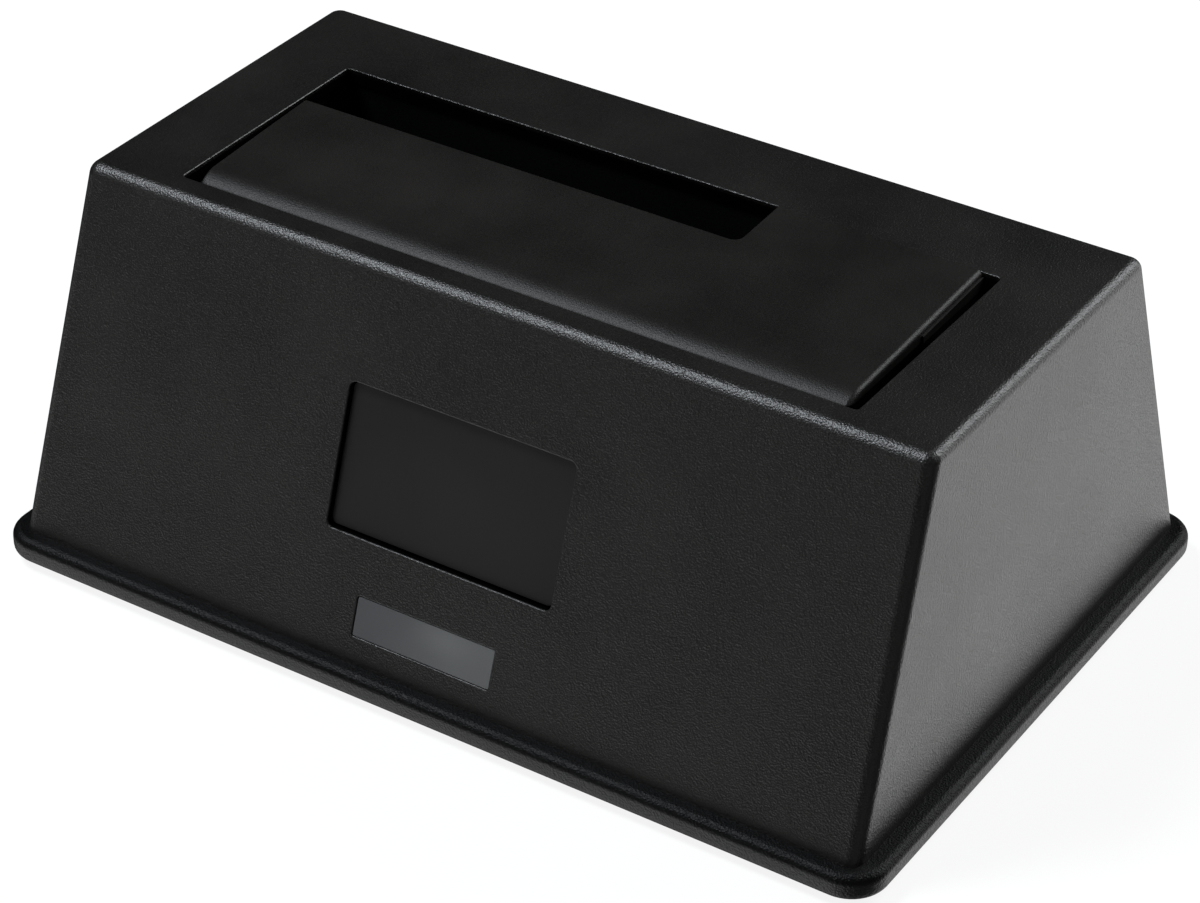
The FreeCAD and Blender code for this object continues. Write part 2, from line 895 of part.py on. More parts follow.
def flap_nose():
    """The middle of the flap's round nose, seen along the hinge."""
    y = opening_front_y + flap_nose_gap + flap_nose_radius
    return V(0, y, flap_surface(y) - flap_nose_radius / math.cos(math.radians(flap_tilt)))


def flap_roll(inset):
    """The ends and middle of the nose's arc, from the flat top to the front, set in from the skin."""
    lean = math.radians(flap_tilt)
    radius = flap_nose_radius - inset
    top = flap_nose() + V(0, -math.sin(lean), math.cos(lean)) * radius
    middle = flap_nose() + V(0, -math.sqrt(0.5), math.sqrt(0.5)) * radius
    return top, middle, flap_nose() - ALONG_Y * radius


def flap_rear(inset):
    """The flap's rear edge at a depth under its flat top."""
    depth = inset / math.cos(math.radians(flap_tilt))
    return V(0, flap_rear_y, flap_surface(flap_rear_y) - depth)


def run_along(edges, span):
    """A closed section run along the hinge between two places."""
    section = Part.Face(Part.Wire([edge.toShape() for edge in edges]))
    section.translate(V(min(span), 0, 0))
    return section.extrude(V(max(span) - min(span), 0, 0))


def flap_slab(thickness, span):
    """The flap's skin at a given thickness: a flat top that rolls down into a round nose."""
    top, middle, front = flap_roll(0)
    inner_top, inner_middle, inner_front = flap_roll(thickness)
    edges = [
        Part.LineSegment(flap_rear(0), top),
        Part.Arc(top, middle, front),
        Part.LineSegment(front, inner_front),
        Part.Arc(inner_front, inner_middle, inner_top),
        Part.LineSegment(inner_top, flap_rear(thickness)),
        Part.LineSegment(flap_rear(thickness), flap_rear(0)),
    ]
    return run_along(edges, span)


def under_flap(span):
    """All the room under the middle of the flap's skin, which keeps the knuckles inside it."""
    top, middle, front = flap_roll(flap_skin / 2)
    rear = flap_rear(flap_skin / 2)
    low = hinge_z - 2 * knuckle_radius
    edges = [
        Part.LineSegment(rear, top),
        Part.Arc(top, middle, front),
        Part.LineSegment(front, V(0, front.y, low)),
        Part.LineSegment(V(0, front.y, low), V(0, rear.y, low)),
        Part.LineSegment(V(0, rear.y, low), rear),
    ]
    return run_along(edges, span)


def on_flap_top(edge):
    """Whether an edge across the hinge lies on the flap's outer skin."""
    if edge.BoundBox.XLength > 0.01:
        return False
    middle = edge.valueAt((edge.FirstParameter + edge.LastParameter) / 2)
    to_nose = (middle - V(middle.x, flap_nose().y, flap_nose().z)).Length
    return abs(middle.z - flap_surface(middle.y)) < 0.01 or abs(to_nose - flap_nose_radius) < 0.01


def knuckle_spans():
    """The flap's knuckles along the shaft: two at each end with a spring between, one in the middle."""
    spans = [(-middle_knuckle / 2, middle_knuckle / 2)]
    for end_x, inward in ((flap_left_x, 1), (flap_right_x, -1)):
        spans.append((end_x, end_x + inward * end_knuckle))
        inner = end_x + inward * (end_knuckle + spring_room)
        spans.append((inner, inner + inward * inner_knuckle))
    return spans


def flap_slot():
    """What the slot for the small drive takes out of the flap: open at its left and its rear."""
    slot = box(
        (flap_left_x - 1, slot_right_x), (slot_front_y, flap_rear_y + 1), (stop_under() - 1, roof_top + 1)
    )
    inner_corner = [
        e for e in upright_edges(slot)
        if abs(e.BoundBox.XMin - slot_right_x) < 0.01 and abs(e.BoundBox.YMin - slot_front_y) < 0.01
    ]
    return slot.makeFillet(slot_corner_radius, inner_corner)


def stop_under():
    """The height of the underside of the flap's stops."""
    return roof_under - stop_gap - stop_thickness


def flap_ribs():
    """The stiffening ribs under the flap: a border all round, one by the slot, and some across."""
    w = flap_rib_width
    front = hinge_y + knuckle_radius
    upright = (stop_under() - flap_rib_drop, roof_top)
    ribs = [
        box((flap_left_x, flap_left_x + w), (front, slot_front_y), upright),
        box((flap_right_x - w, flap_right_x), (front, flap_rear_y), upright),
        box((flap_left_x, slot_right_x + w), (slot_front_y - w, slot_front_y), upright),
        box((slot_right_x, slot_right_x + w), (slot_front_y - w, flap_rear_y), upright),
        box((slot_right_x, flap_right_x), (flap_rear_y - w, flap_rear_y), upright),
    ]
    for n in range(1, flap_rib_count + 1):
        x = flap_left_x + (flap_right_x - flap_left_x) * n / (flap_rib_count + 1)
        rear = slot_front_y if x < slot_right_x else flap_rear_y
        ribs.append(box((x - w / 2, x + w / 2), (front, rear), upright))
    span = (flap_left_x, flap_right_x)
    depth = flap_slab(flap_skin + flap_rib_drop, span).common(under_flap(span))
    return [rib.common(depth).cut(flap_slot()) for rib in ribs]


def flap_stops():
    """The two tabs that meet the underside of the roof when the flap is shut."""
    reach = opening_half_length + stop_reach
    upright = (stop_under(), stop_under() + stop_thickness)
    right_rear = flap_rear_y - stop_end_gap
    left_rear = slot_front_y - stop_end_gap
    return [
        box((flap_right_x - flap_rib_width, reach), (right_rear - right_stop_length, right_rear), upright),
        box((-reach, flap_left_x + flap_rib_width), (left_rear - left_stop_length, left_rear), upright),
    ]


def spring_seats():
    """The pads under the flap that the springs' moving legs press on."""
    seats = []
    under = hinge_z + spring_coil_radius + spring_wire / 2 + spring_seat_gap
    rear = hinge_y + spring_leg_up - spring_seat_short
    y = (rear - spring_seat_length, rear)
    for x in spring_seat_places():
        across = (x - spring_seat_width / 2, x + spring_seat_width / 2)
        seats.append(box(across, y, (under, flap_surface(y[0]) - flap_skin / 2)))
    return seats


def drive_flap():
    """The sprung door: skin, stiffening ribs, knuckles, stops, spring seats and the drive slot."""
    skin = flap_slab(flap_skin, (flap_left_x, flap_right_x))
    skin = skin.makeFillet(flap_edge_radius, [e for e in skin.Edges if on_flap_top(e)])
    knuckles = []
    for span in knuckle_spans():
        neck_y = (hinge_y - knuckle_radius, hinge_y + knuckle_radius)
        barrel = rod(span, hinge_y, hinge_z, knuckle_radius)
        neck = box(span, neck_y, (hinge_z, roof_top))
        knuckles.append(joined([barrel, neck]).common(under_flap(span)))
    door = joined([skin.cut(flap_slot())] + flap_ribs() + knuckles + flap_stops() + spring_seats())
    bore = (flap_left_x - 1, flap_right_x + 1)
    return door.cut(rod(bore, hinge_y, hinge_z, shaft_radius + shaft_running_gap))


def flap_shaft():
    """The steel shaft, chamfered at both ends, from the closed ear to the open one."""
    span = (-ear_outer_x + ear_cap + shaft_end_gap, ear_outer_x - shaft_end_gap)
    pin = rod(span, hinge_y, hinge_z, shaft_radius)
    return pin.makeChamfer(shaft_chamfer, [e for e in pin.Edges if e.BoundBox.XLength < 0.01])


def coil(radius, pitch, half_turns, wire):
    """A round wire wound about Z out of tilted half rings, from the local X axis at height 0."""
    half = Part.Face(Part.Wire(Part.Circle(V(radius, 0, 0), ALONG_Y, wire / 2).toShape()))
    rings = []
    whole = math.floor(half_turns)
    for n in range(whole + 1):
        turn = 180 if n < whole else 180 * (half_turns - whole)
        if turn == 0:
            continue
        across = -1 if n % 2 else 1
        start = half.copy()
        if across < 0:
            start.rotate(V(0, 0, 0), ALONG_Z, 180)
        start.translate(V(0, 0, n * pitch / 2))
        middle = V(0, 0, (n + 0.5) * pitch / 2)
        rings.append(start.revolve(middle, V(across * pitch / 4, 0, radius), turn))
    return rings


def torsion_spring(left):
    """A torsion spring: its upper leg lifts the flap, and its lower leg stands on the well."""
    x0 = spring_seat_places()[0]
    x1 = spring_rest_places()[0]
    r = spring_coil_radius
    lay_down = FreeCAD.Placement(
        V(x0, hinge_y, hinge_z), FreeCAD.Rotation(V(0, 0, 1), V(0, -1, 0), V(1, 0, 0), "ZXY")
    )
    pieces = coil(r, spring_pitch, 2 * spring_turns + 0.5, spring_wire)
    for ring in pieces:
        ring.Placement = lay_down.multiply(ring.Placement)
    pieces.append(
        Part.makeCylinder(spring_wire / 2, spring_leg_up, V(x0, hinge_y, hinge_z + r), ALONG_Y)
    )
    foot_of_leg = V(x1, hinge_y - r, hinge_z - spring_leg_down)
    pieces.append(Part.makeCylinder(spring_wire / 2, spring_leg_down, foot_of_leg, ALONG_Z))
    pieces.append(Part.makeSphere(spring_wire / 2, V(x1, hinge_y - r, hinge_z)))
    spring = pieces[0].multiFuse(pieces[1:])
    if left:
        return spring
    return spring.mirror(V((left_spring_x + right_spring_x) / 2, 0, 0), ALONG_X)


def main_board():
    """The main board, notched round the housing's bosses, with its screw holes."""
    board = box(
        (-board_half_length, board_half_length), (board_front_y, board_rear_y), (board_under, board_top)
    )
    board = board.makeFillet(1.0, upright_edges(board))
    holes = []
    for end in (-1, 1):
        for y in board_screw_y:
            through = (board_under - 1, board_top + 1)
            holes.append(post(end * board_screw_x, y, through, screw_radius + screw_hole_gap))
    return board.cut(Part.makeCompound(holes))


def sata_slots():
    """The middles and lengths along X of the socket's power slot and signal slot."""
    total = power_slot_length + slot_divider + signal_slot_length
    left = socket_x - total / 2
    power = (left, left + power_slot_length)
    signal = (power[1] + slot_divider, power[1] + slot_divider + signal_slot_length)
    return power, signal


def sata_socket():
    """The drive socket's black body: two keyed slots, tapered ends and a foot on the board."""
    top = board_top + socket_height
    half = socket_length / 2
    front = socket_y - socket_width / 2
    ends = face_of(
        [
            V(socket_x - half, front, board_top),
            V(socket_x + half, front, board_top),
            V(socket_x + half, front, top - socket_end_bevel_height),
            V(socket_x + half - socket_end_bevel, front, top),
            V(socket_x - half + socket_end_bevel, front, top),
            V(socket_x - half, front, top - socket_end_bevel_height),
        ]
    )
    body = ends.extrude(V(0, socket_width, 0))
    cuts = []
    power, signal = sata_slots()
    deep = (top - socket_slot_depth, top + 1)
    wall_y = (socket_y - socket_slot_width / 2, socket_y + socket_slot_width / 2)
    for span, key_at in ((power, power[0]), (signal, signal[1] - key_length)):
        cuts.append(box(span, wall_y, deep))
        key_y = (wall_y[0] - key_width, wall_y[0])
        cuts.append(box((key_at, key_at + key_length), key_y, deep))
    relief = box(
        (socket_x - half + socket_relief_inset, socket_x + half - socket_relief_inset),
        (socket_y + socket_width / 2 - socket_relief, socket_y + socket_width),
        (board_top + socket_relief, top - socket_slot_depth - socket_relief),
    )
    cuts.append(relief)
    return body.cut(Part.makeCompound(cuts))


def sata_contacts(span, count):
    """One row of contact blades on the back wall of a slot, seated in the socket's body."""
    middle = (span[0] + span[1]) / 2
    back = socket_y + socket_slot_width / 2
    blades = []
    for n in range(count):
        x = middle + (n - (count - 1) / 2) * contact_pitch
        blade = box(
            (x - contact_width / 2, x + contact_width / 2),
            (back - contact_thickness, back),
            (board_top + socket_height - socket_slot_depth, board_top + socket_height - contact_short),
        )
        blades.append(blade)
    return Part.makeCompound(blades)


def usb_front():
    """Where the USB socket's mouth stands along Y."""
    return panel_y + usb_stand_out


def usb_socket_shell():
    """The USB socket's folded sheet-metal shell, open to the back, with two board tabs."""
    y = (usb_front() - usb_depth, usb_front())
    x = (usb_x - usb_width / 2, usb_x + usb_width / 2)
    z = (board_top, board_top + usb_height)
    tube = box(x, y, z)
    tube = tube.makeFillet(0.8, [e for e in tube.Edges if e.BoundBox.YLength > usb_depth / 2])
    room = box(
        (x[0] + usb_sheet, x[1] - usb_sheet),
        (y[0] + usb_sheet, y[1] + 1),
        (z[0] + usb_sheet, z[1] - usb_sheet),
    )
    room = room.makeFillet(0.5, [e for e in room.Edges if e.BoundBox.YLength > usb_depth / 2])
    return tube.cut(room)


def usb_cavity():
    """The stepped hole of the USB socket: a wide lower half with a narrow upper half."""
    floor = board_top + usb_sheet + usb_floor
    y0 = usb_front() - usb_cavity_depth
    lower = usb_lower_width / 2
    upper = usb_upper_width / 2
    step = floor + usb_lower_height
    section = face_of(
        [
            V(usb_x - lower, y0, floor),
            V(usb_x + lower, y0, floor),
            V(usb_x + lower, y0, step - usb_shoulder),
            V(usb_x + upper, y0, step),
            V(usb_x + upper, y0, step + usb_upper_height),
            V(usb_x - upper, y0, step + usb_upper_height),
            V(usb_x - upper, y0, step),
            V(usb_x - lower, y0, step - usb_shoulder),
        ]
    )
    return section.extrude(V(0, usb_cavity_depth + 1, 0))


def usb_tongues():
    """The limits of the USB socket's thick lower tongue and its thin upper one."""
    floor = board_top + usb_sheet + usb_floor
    middle = floor + usb_lower_height / 2
    y = (usb_front() - usb_cavity_depth - 0.5, usb_front() - usb_tongue_short)
    x = (usb_x - usb_tongue_width / 2, usb_x + usb_tongue_width / 2)
    lower = (x, y, (middle - usb_tongue_height / 2, middle + usb_tongue_height / 2))
    high = floor + usb_lower_height + usb_upper_height / 2
    narrow = (usb_x - usb_tongue_width / 2 + 0.4, usb_x + usb_tongue_width / 2 - 0.4)
    upper = (narrow, y, (high - usb_upper_tongue_height / 2, high + usb_upper_tongue_height / 2))
    return lower, upper


def usb_socket_insert():
    """The USB socket's plastic insert, with the stepped hole and the two tongues in it."""
    wall = usb_sheet + usb_insert_gap
    body = box(
        (usb_x - usb_width / 2 + wall, usb_x + usb_width / 2 - wall),
        (usb_front() - usb_depth + wall, usb_front() - usb_insert_set_back),
        (board_top + wall, board_top + usb_height - wall),
    )
    body = body.makeFillet(0.6, [e for e in body.Edges if e.BoundBox.YLength > usb_depth / 2])
    body = body.cut(usb_cavity())
    lower, upper = usb_tongues()
    return joined([body, box(*lower), box(*upper)])


def usb_contacts():
    """The USB contacts: two above and two below the thick tongue, and five under the thin one."""
    lower, upper = usb_tongues()
    y = (lower[1][0] + 0.6, lower[1][1] - 0.5)
    blades = []
    half = usb_lower_contact_width / 2
    thick = usb_contact_thickness
    for middle in (usb_x - usb_lower_contact_x, usb_x + usb_lower_contact_x):
        x = (middle - half, middle + half)
        blades.append(box(x, y, (lower[2][1], lower[2][1] + thick)))
        blades.append(box(x, y, (lower[2][0] - thick, lower[2][0])))
    half = usb_upper_contact_width / 2
    for n in range(usb_upper_contacts):
        middle = usb_x + (n - (usb_upper_contacts - 1) / 2) * usb_upper_contact_pitch
        blades.append(box((middle - half, middle + half), y, (upper[2][0] - thick, upper[2][0])))
    return Part.makeCompound(blades)


def dc_socket():
    """The DC socket's body: a block with a stepped round front and a bore for the plug."""
    lift = board_top + dc_bore_lift
    front = panel_y
    block = box(
        (dc_x - dc_width / 2, dc_x + dc_width / 2),
        (front - dc_depth, panel_inner_y - port_gap),
        (board_top, board_top + dc_height),
    )
    nose = Part.makeCylinder(
        dc_bore_radius + dc_nose_wall,
        front - panel_inner_y + 1.0,
        V(dc_x, panel_inner_y - 1.0, lift),
        ALONG_Y,
    )
    bore = Part.makeCylinder(
        dc_bore_radius, dc_bore_depth + 1, V(dc_x, front - dc_bore_depth, lift), ALONG_Y
    )
    body = joined([block, nose]).cut(bore)
    root = V(dc_x, front - dc_bore_depth - dc_pin_root, lift)
    return body.cut(Part.makeCylinder(dc_pin_radius, dc_pin_root + 1, root, ALONG_Y))


def dc_socket_pin():
    """The DC socket's round centre pin, seated in the bottom of the bore."""
    length = dc_bore_depth - dc_pin_short + dc_pin_root
    y0 = panel_y - dc_bore_depth - dc_pin_root
    pin = Part.makeCylinder(dc_pin_radius, length, V(dc_x, y0, board_top + dc_bore_lift), ALONG_Y)
    tip = [e for e in pin.Edges if e.BoundBox.YMin > y0 + length - 0.01]
    return pin.makeFillet(dc_pin_radius * 0.6, tip)


def dc_socket_contact():
    """The DC socket's leaf, which presses on the plug's sleeve from the side of the bore."""
    lift = board_top + dc_bore_lift
    side = math.sqrt(dc_bore_radius ** 2 - (dc_leaf_width / 2) ** 2)
    return box(
        (dc_x - dc_leaf_width / 2, dc_x + dc_leaf_width / 2),
        (panel_y - dc_bore_depth, panel_y - dc_leaf_short),
        (lift - side, lift - side + dc_leaf_thickness),
    )


def button_front():
    """Where the button's face stands along Y at rest."""
    return panel_y + button_proud


def switch_y():
    """The front and back of the power switch along Y."""
    front = panel_inner_y - button_flange_thickness - button_travel - switch_room
    return front - switch_depth, front


def power_switch():
    """The power switch's body, a block with a square bore for the button's stem."""
    back, front = switch_y()
    middle = board_top + button_lift
    body = box(
        (switch_x - switch_width / 2, switch_x + switch_width / 2),
        (back, front),
        (board_top, board_top + switch_height),
    )
    bore = button_stem / 2 + button_gap
    hole = box(
        (switch_x - bore, switch_x + bore),
        (front - button_bore_depth, front + 1),
        (middle - bore, middle + bore),
    )
    return body.cut(hole)


def power_button():
    """The button: a crowned cap through the panel, a flange behind it and a stem to the switch."""
    back, front = switch_y()
    middle = board_top + button_lift
    flange_rear = panel_inner_y - button_gap - button_flange_thickness
    cap = button_plate(0, (flange_rear, button_front()))
    face = [e for e in cap.Edges if e.BoundBox.YMin > button_front() - 0.01]
    cap = cap.makeFillet(button_crown, face)
    flange = button_plate(button_flange, (flange_rear, flange_rear + button_flange_thickness))
    stem = box(
        (switch_x - button_stem / 2, switch_x + button_stem / 2),
        (front - button_stem_in_bore, flange_rear + 0.5),
        (middle - button_stem / 2, middle + button_stem / 2),
    )
    return joined([cap, flange, stem])


def button_spring():
    """The compression spring between the bottom of the switch's bore and the button's stem."""
    back, front = switch_y()
    length = button_bore_depth - button_stem_in_bore - button_spring_wire - 0.1
    pitch = length / button_spring_turns
    rings = coil(button_spring_radius, pitch, 2 * button_spring_turns, button_spring_wire)
    wound = rings[0].multiFuse(rings[1:])
    wound.Placement = FreeCAD.Placement(
        V(switch_x, front - button_bore_depth + button_spring_wire / 2 + 0.05, board_top + button_lift),
        FreeCAD.Rotation(ALONG_X, -90),
    )
    return wound


def chip(x, y, length, width, height):
    """A flat moulded block on the board, with its top edges bevelled."""
    body = box(
        (x - length / 2, x + length / 2), (y - width / 2, y + width / 2), (board_top, board_top + height)
    )
    top = [e for e in body.Edges if e.BoundBox.ZMin > board_top + height - 0.01]
    return body.makeChamfer(min(length, width, height) / 5, top)


def can(x, y):
    """An upright electrolytic capacitor on its square base, with a rounded top."""
    side = 2 * can_radius + can_base_margin
    base = chip(x, y, side, side, can_base_height)
    body = post(x, y, (board_top + can_base_height / 2, board_top + can_height), can_radius)
    crown = [e for e in body.Edges if e.BoundBox.ZMin > board_top + can_height - 0.01]
    return joined([base, body.makeFillet(can_radius / 5, crown)])


def inductor(x, y):
    """A shielded power inductor, a rounded square block."""
    block = rounded_plate(inductor_side, inductor_side, inductor_side / 4, inductor_height)
    block.translate(V(x, y, board_top))
    return block


def lamp(x):
    """A side-firing lamp on the board's front edge, with its lens towards the window."""
    back = board_front_y + lamp_height
    middle = board_top + lamp_height / 2
    block = box(
        (x - lamp_width / 2, x + lamp_width / 2),
        (board_front_y + 0.1, back),
        (board_top, board_top + lamp_height),
    )
    lens = Part.makeSphere(lamp_lens_radius, V(x, board_front_y + 0.2, middle))
    return joined([block, lens])


def write(name, shape):
    """Writes one named piece."""
    shape.exportStep("parts/" + name + ".step")


os.makedirs("parts", exist_ok=True)

write("housing", housing())
write("base_cover", base_cover())
for side_name, side in (("front", -1), ("rear", 1)):
    for end_name, end in (("left", -1), ("right", 1)):
        write("foot_" + side_name + "_" + end_name, foot(end, side))
write("nameplate", nameplate())
write("led_window", led_window())
write("light_guide", light_guide())

write("drive_well", drive_well())
write("drive_flap", drive_flap())
write("flap_shaft", flap_shaft())
write("flap_spring_left", torsion_spring(True))
write("flap_spring_right", torsion_spring(False))

power_span, signal_span = sata_slots()
write("main_board", main_board())
write("sata_socket", sata_socket())
write("sata_power_contacts", sata_contacts(power_span, power_contacts))
write("sata_signal_contacts", sata_contacts(signal_span, signal_contacts))
write("usb_socket_shell", usb_socket_shell())
write("usb_socket_insert", usb_socket_insert())
write("usb_socket_contacts", usb_contacts())
write("dc_socket", dc_socket())
write("dc_socket_pin", dc_socket_pin())
write("dc_socket_contact", dc_socket_contact())
write("power_switch", power_switch())
write("power_button", power_button())
write("button_spring", button_spring())

write("bridge_chip", chip(*bridge_chip))
write("memory_chip", chip(*memory_chip))
write("crystal", chip(*crystal))
write("power_inductor", inductor(*inductor_place))
write("electrolytic_capacitors", Part.makeCompound([can(x, y) for x, y in can_places]))
regulators = [chip(x, y, *regulator) for x, y in regulator_places]
write("voltage_regulators", Part.makeCompound(regulators))
ceramics = [chip(x, y, *ceramic) for x in ceramic_columns for y in ceramic_rows]
write("ceramic_capacitors", Part.makeCompound(ceramics))
write("status_lamps", Part.makeCompound([lamp(-lamp_x), lamp(lamp_x)]))

base_screws = []
well_screws = []
board_screws = []
for end in (-1, 1):
    for side in (-1, 1):
        x = end * base_boss_x
        base_screws.append(screw(x, side * base_boss_y, screw_seat, base_screw_length, True))
    for y in lug_y:
        length = lug_thickness + lug_screw_length - screw_end_gap
        well_screws.append(screw(end * lug_x, y, lug_top - lug_thickness, length, True))
    for y in board_screw_y:
        length = board_screw_length - screw_end_gap
        board_screws.append(screw(end * board_screw_x, y, board_top, length, False))
write("base_screws", Part.makeCompound(base_screws))
write("well_screws", Part.makeCompound(well_screws))
write("board_screws", Part.makeCompound(board_screws))
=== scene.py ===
import math

import bmesh
import bpy
from mathutils import Matrix, Vector


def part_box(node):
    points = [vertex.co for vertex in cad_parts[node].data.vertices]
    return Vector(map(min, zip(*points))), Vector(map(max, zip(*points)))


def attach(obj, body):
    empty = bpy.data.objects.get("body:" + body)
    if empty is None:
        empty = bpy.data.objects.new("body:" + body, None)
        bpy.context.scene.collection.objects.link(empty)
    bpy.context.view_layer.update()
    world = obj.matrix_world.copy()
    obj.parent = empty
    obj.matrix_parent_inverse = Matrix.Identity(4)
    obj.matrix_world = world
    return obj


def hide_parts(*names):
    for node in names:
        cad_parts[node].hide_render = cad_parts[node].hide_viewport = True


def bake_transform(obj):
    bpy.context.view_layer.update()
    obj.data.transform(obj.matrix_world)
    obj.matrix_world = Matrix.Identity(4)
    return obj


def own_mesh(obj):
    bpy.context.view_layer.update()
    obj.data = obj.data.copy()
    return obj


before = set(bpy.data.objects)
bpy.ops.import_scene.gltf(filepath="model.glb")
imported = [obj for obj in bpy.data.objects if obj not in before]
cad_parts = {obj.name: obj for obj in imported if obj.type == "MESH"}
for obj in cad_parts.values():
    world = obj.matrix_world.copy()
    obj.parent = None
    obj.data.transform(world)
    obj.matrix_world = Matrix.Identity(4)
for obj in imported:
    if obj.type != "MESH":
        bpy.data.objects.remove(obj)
for spare in ("Cube", "Light", "Camera"):
    if spare in bpy.data.objects:
        bpy.data.objects.remove(bpy.data.objects[spare])
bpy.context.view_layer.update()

mm = 0.001


# Base cover
# A shallow moulded tray of black plastic that closes the bottom. Its bead stands out all round,
# and a lip inside it finds the housing. Slots let warm air out, and screws go up from below.
class Socket:
    """The end of a shader node. Reckoning with it adds Math nodes."""

    def __init__(self, paint, end):
        self.paint = paint
        self.end = end

    def __add__(self, other):
        return self.paint.math("ADD", self, other)

    def __sub__(self, other):
        return self.paint.math("SUBTRACT", self, other)

    def __rsub__(self, other):
        return self.paint.math("SUBTRACT", other, self)

    def __mul__(self, other):
        return self.paint.math("MULTIPLY", self, other)

    def __neg__(self):
        return 0 - self

    def __abs__(self):
        return self.paint.math("ABSOLUTE", self)

    __radd__ = __add__
    __rmul__ = __mul__

    def over(self, low, high):
        """0 below low, 1 above high, and a smooth rise between them."""
        settings = {"interpolation_type": "SMOOTHSTEP"}
        inputs = {"Value": self, "From Min": low, "From Max": high}
        return self.paint.node("ShaderNodeMapRange", settings, inputs)


class Paint:
    """A finish, or the room's light: one shader and the nodes that feed it."""

    def __init__(self, name, holder=None, shader="Principled BSDF", place="Object"):
        self.material = holder or bpy.data.materials.new(name)
        self.material.use_nodes = True
        self.tree = self.material.node_tree
        self.shader = self.tree.nodes[shader]
        self.place = self.node("ShaderNodeTexCoord", output=place)

    def plug(self, socket, value):
        """Feeds an input from another node, or sets its own value."""
        if isinstance(value, Socket):
            self.tree.links.new(value.end, socket)
        elif socket.type == "RGBA":
            socket.default_value = (*value, 1.0)
        else:
            socket.default_value = value

    def node(self, kind, settings=None, inputs=None, output=0):
        """Adds a node, sets it up, fills its inputs and gives one of its outputs."""
        made = self.tree.nodes.new(kind)
        for key, value in (settings or {}).items():
            setattr(made, key, value)
        pairs = enumerate(inputs) if isinstance(inputs, list) else (inputs or {}).items()
        for key, value in pairs:
            self.plug(made.inputs[key], value)
        return Socket(self, made.outputs[output])

    def math(self, operation, *values):
        return self.node("ShaderNodeMath", {"operation": operation}, list(values))

    def ray(self, kind):
        """1 for light rays of one kind, such as Camera, Glossy or Transmission."""
        return self.node("ShaderNodeLightPath", output=f"Is {kind} Ray")

    def noise(self, size, detail=2.0):
        """Soft blotches of about a size, from 0 to 1."""
        inputs = {"Vector": self.place, "Scale": 1 / size, "Detail": detail}
        return self.node("ShaderNodeTexNoise", None, inputs, "Fac")

    def pits(self, size):
        """How far off the nearest of many scattered points is, with about a size between them."""
        inputs = {"Vector": self.place, "Scale": 1 / size}
        return self.node("ShaderNodeTexVoronoi", None, inputs, "Distance")

    def mix(self, share, first, second):
        """A colour between two."""
        inputs = {0: share, 6: first, 7: second}
        return self.node("ShaderNodeMix", {"data_type": "RGBA"}, inputs, 2)

    def along(self, axis):
        """One coordinate of the place, in metres."""
        return self.node("ShaderNodeSeparateXYZ", None, [self.place], axis)

    def bump(self, height, depth):
        """Raises the surface by a depth in metres where height is 1."""
        normal = self.node("ShaderNodeBump", None, {"Height": height, "Distance": depth})
        self.plug(self.shader.inputs["Normal"], normal)

    def finish(self, **values):
        """Sets the shader's inputs by their names."""
        for key, value in values.items():
            self.plug(self.shader.inputs[key.replace("_", " ")], value)
        return self.material


def spark_eroded(name, dark, pale, grain, depth, rough, shine=0.5, shaded=None):
    """Black plastic from a spark-eroded mould, whose even fine grain breaks up the highlights.

    Where shaded gives a function, it says where to mix in painted shade, a dull black diffuse."""
    paint = Paint(name)
    pitted = paint.pits(grain)
    speckle = paint.noise(grain * 0.7, 3.0)
    cloud = paint.noise(18 * mm, 3.0)
    paint.bump(pitted * 0.7 + speckle * 0.6, depth)
    shade = (speckle * 0.55 + cloud * 0.45).over(0.32, 0.68)
    if shaded:
        # Painted shade: a near-black dull diffuse, mixed in where the shaded mask is high.
        painted_shade = paint.node("ShaderNodeBsdfDiffuse", None, {"Color": (0.0015, 0.0015, 0.0015)})
        lit = Socket(paint, paint.shader.outputs[0])
        whole = paint.node("ShaderNodeMixShader", None, [shaded(paint), lit, painted_shade])
        paint.plug(paint.tree.nodes["Material Output"].inputs["Surface"], whole)
    return paint.finish(
        Base_Color=paint.mix(shade, dark, pale),
        Roughness=rough + (speckle - 0.5) * 0.22 + (cloud - 0.5) * 0.1,
        Specular_IOR_Level=shine,
    )


def only(*pieces):
    """Selects these pieces alone, the first one active."""
    bpy.ops.object.select_all(action="DESELECT")
    for piece in pieces:
        piece.select_set(True)
    bpy.context.view_layer.objects.active = pieces[0]


def applied(piece):
    """Puts a new primitive's place, turn and size into its mesh."""
    only(piece)
    bpy.ops.object.transform_apply(location=True, rotation=True, scale=True)
    return piece


def block(low, high):
    """A box between two opposite corners."""
    low = Vector(low)
    high = Vector(high)
    bpy.ops.mesh.primitive_cube_add(size=1, location=(low + high) / 2)
    piece = bpy.context.object
    piece.scale = high - low
    return applied(piece)


def post(x, y, low, high, radius, sides=32):
    """An upright round bar between two heights."""
    place = (x, y, (low + high) / 2)
    bpy.ops.mesh.primitive_cylinder_add(vertices=sides, radius=radius, depth=high - low, location=place)
    return applied(bpy.context.object)


def rod(low, high, y, z, radius, sides=32):
    """A round bar along X between two places."""
    place = ((low + high) / 2, y, z)
    turn = (0, math.pi / 2, 0)
    bpy.ops.mesh.primitive_cylinder_add(
        vertices=sides, radius=radius, depth=high - low, location=place, rotation=turn
    )
    return applied(bpy.context.object)


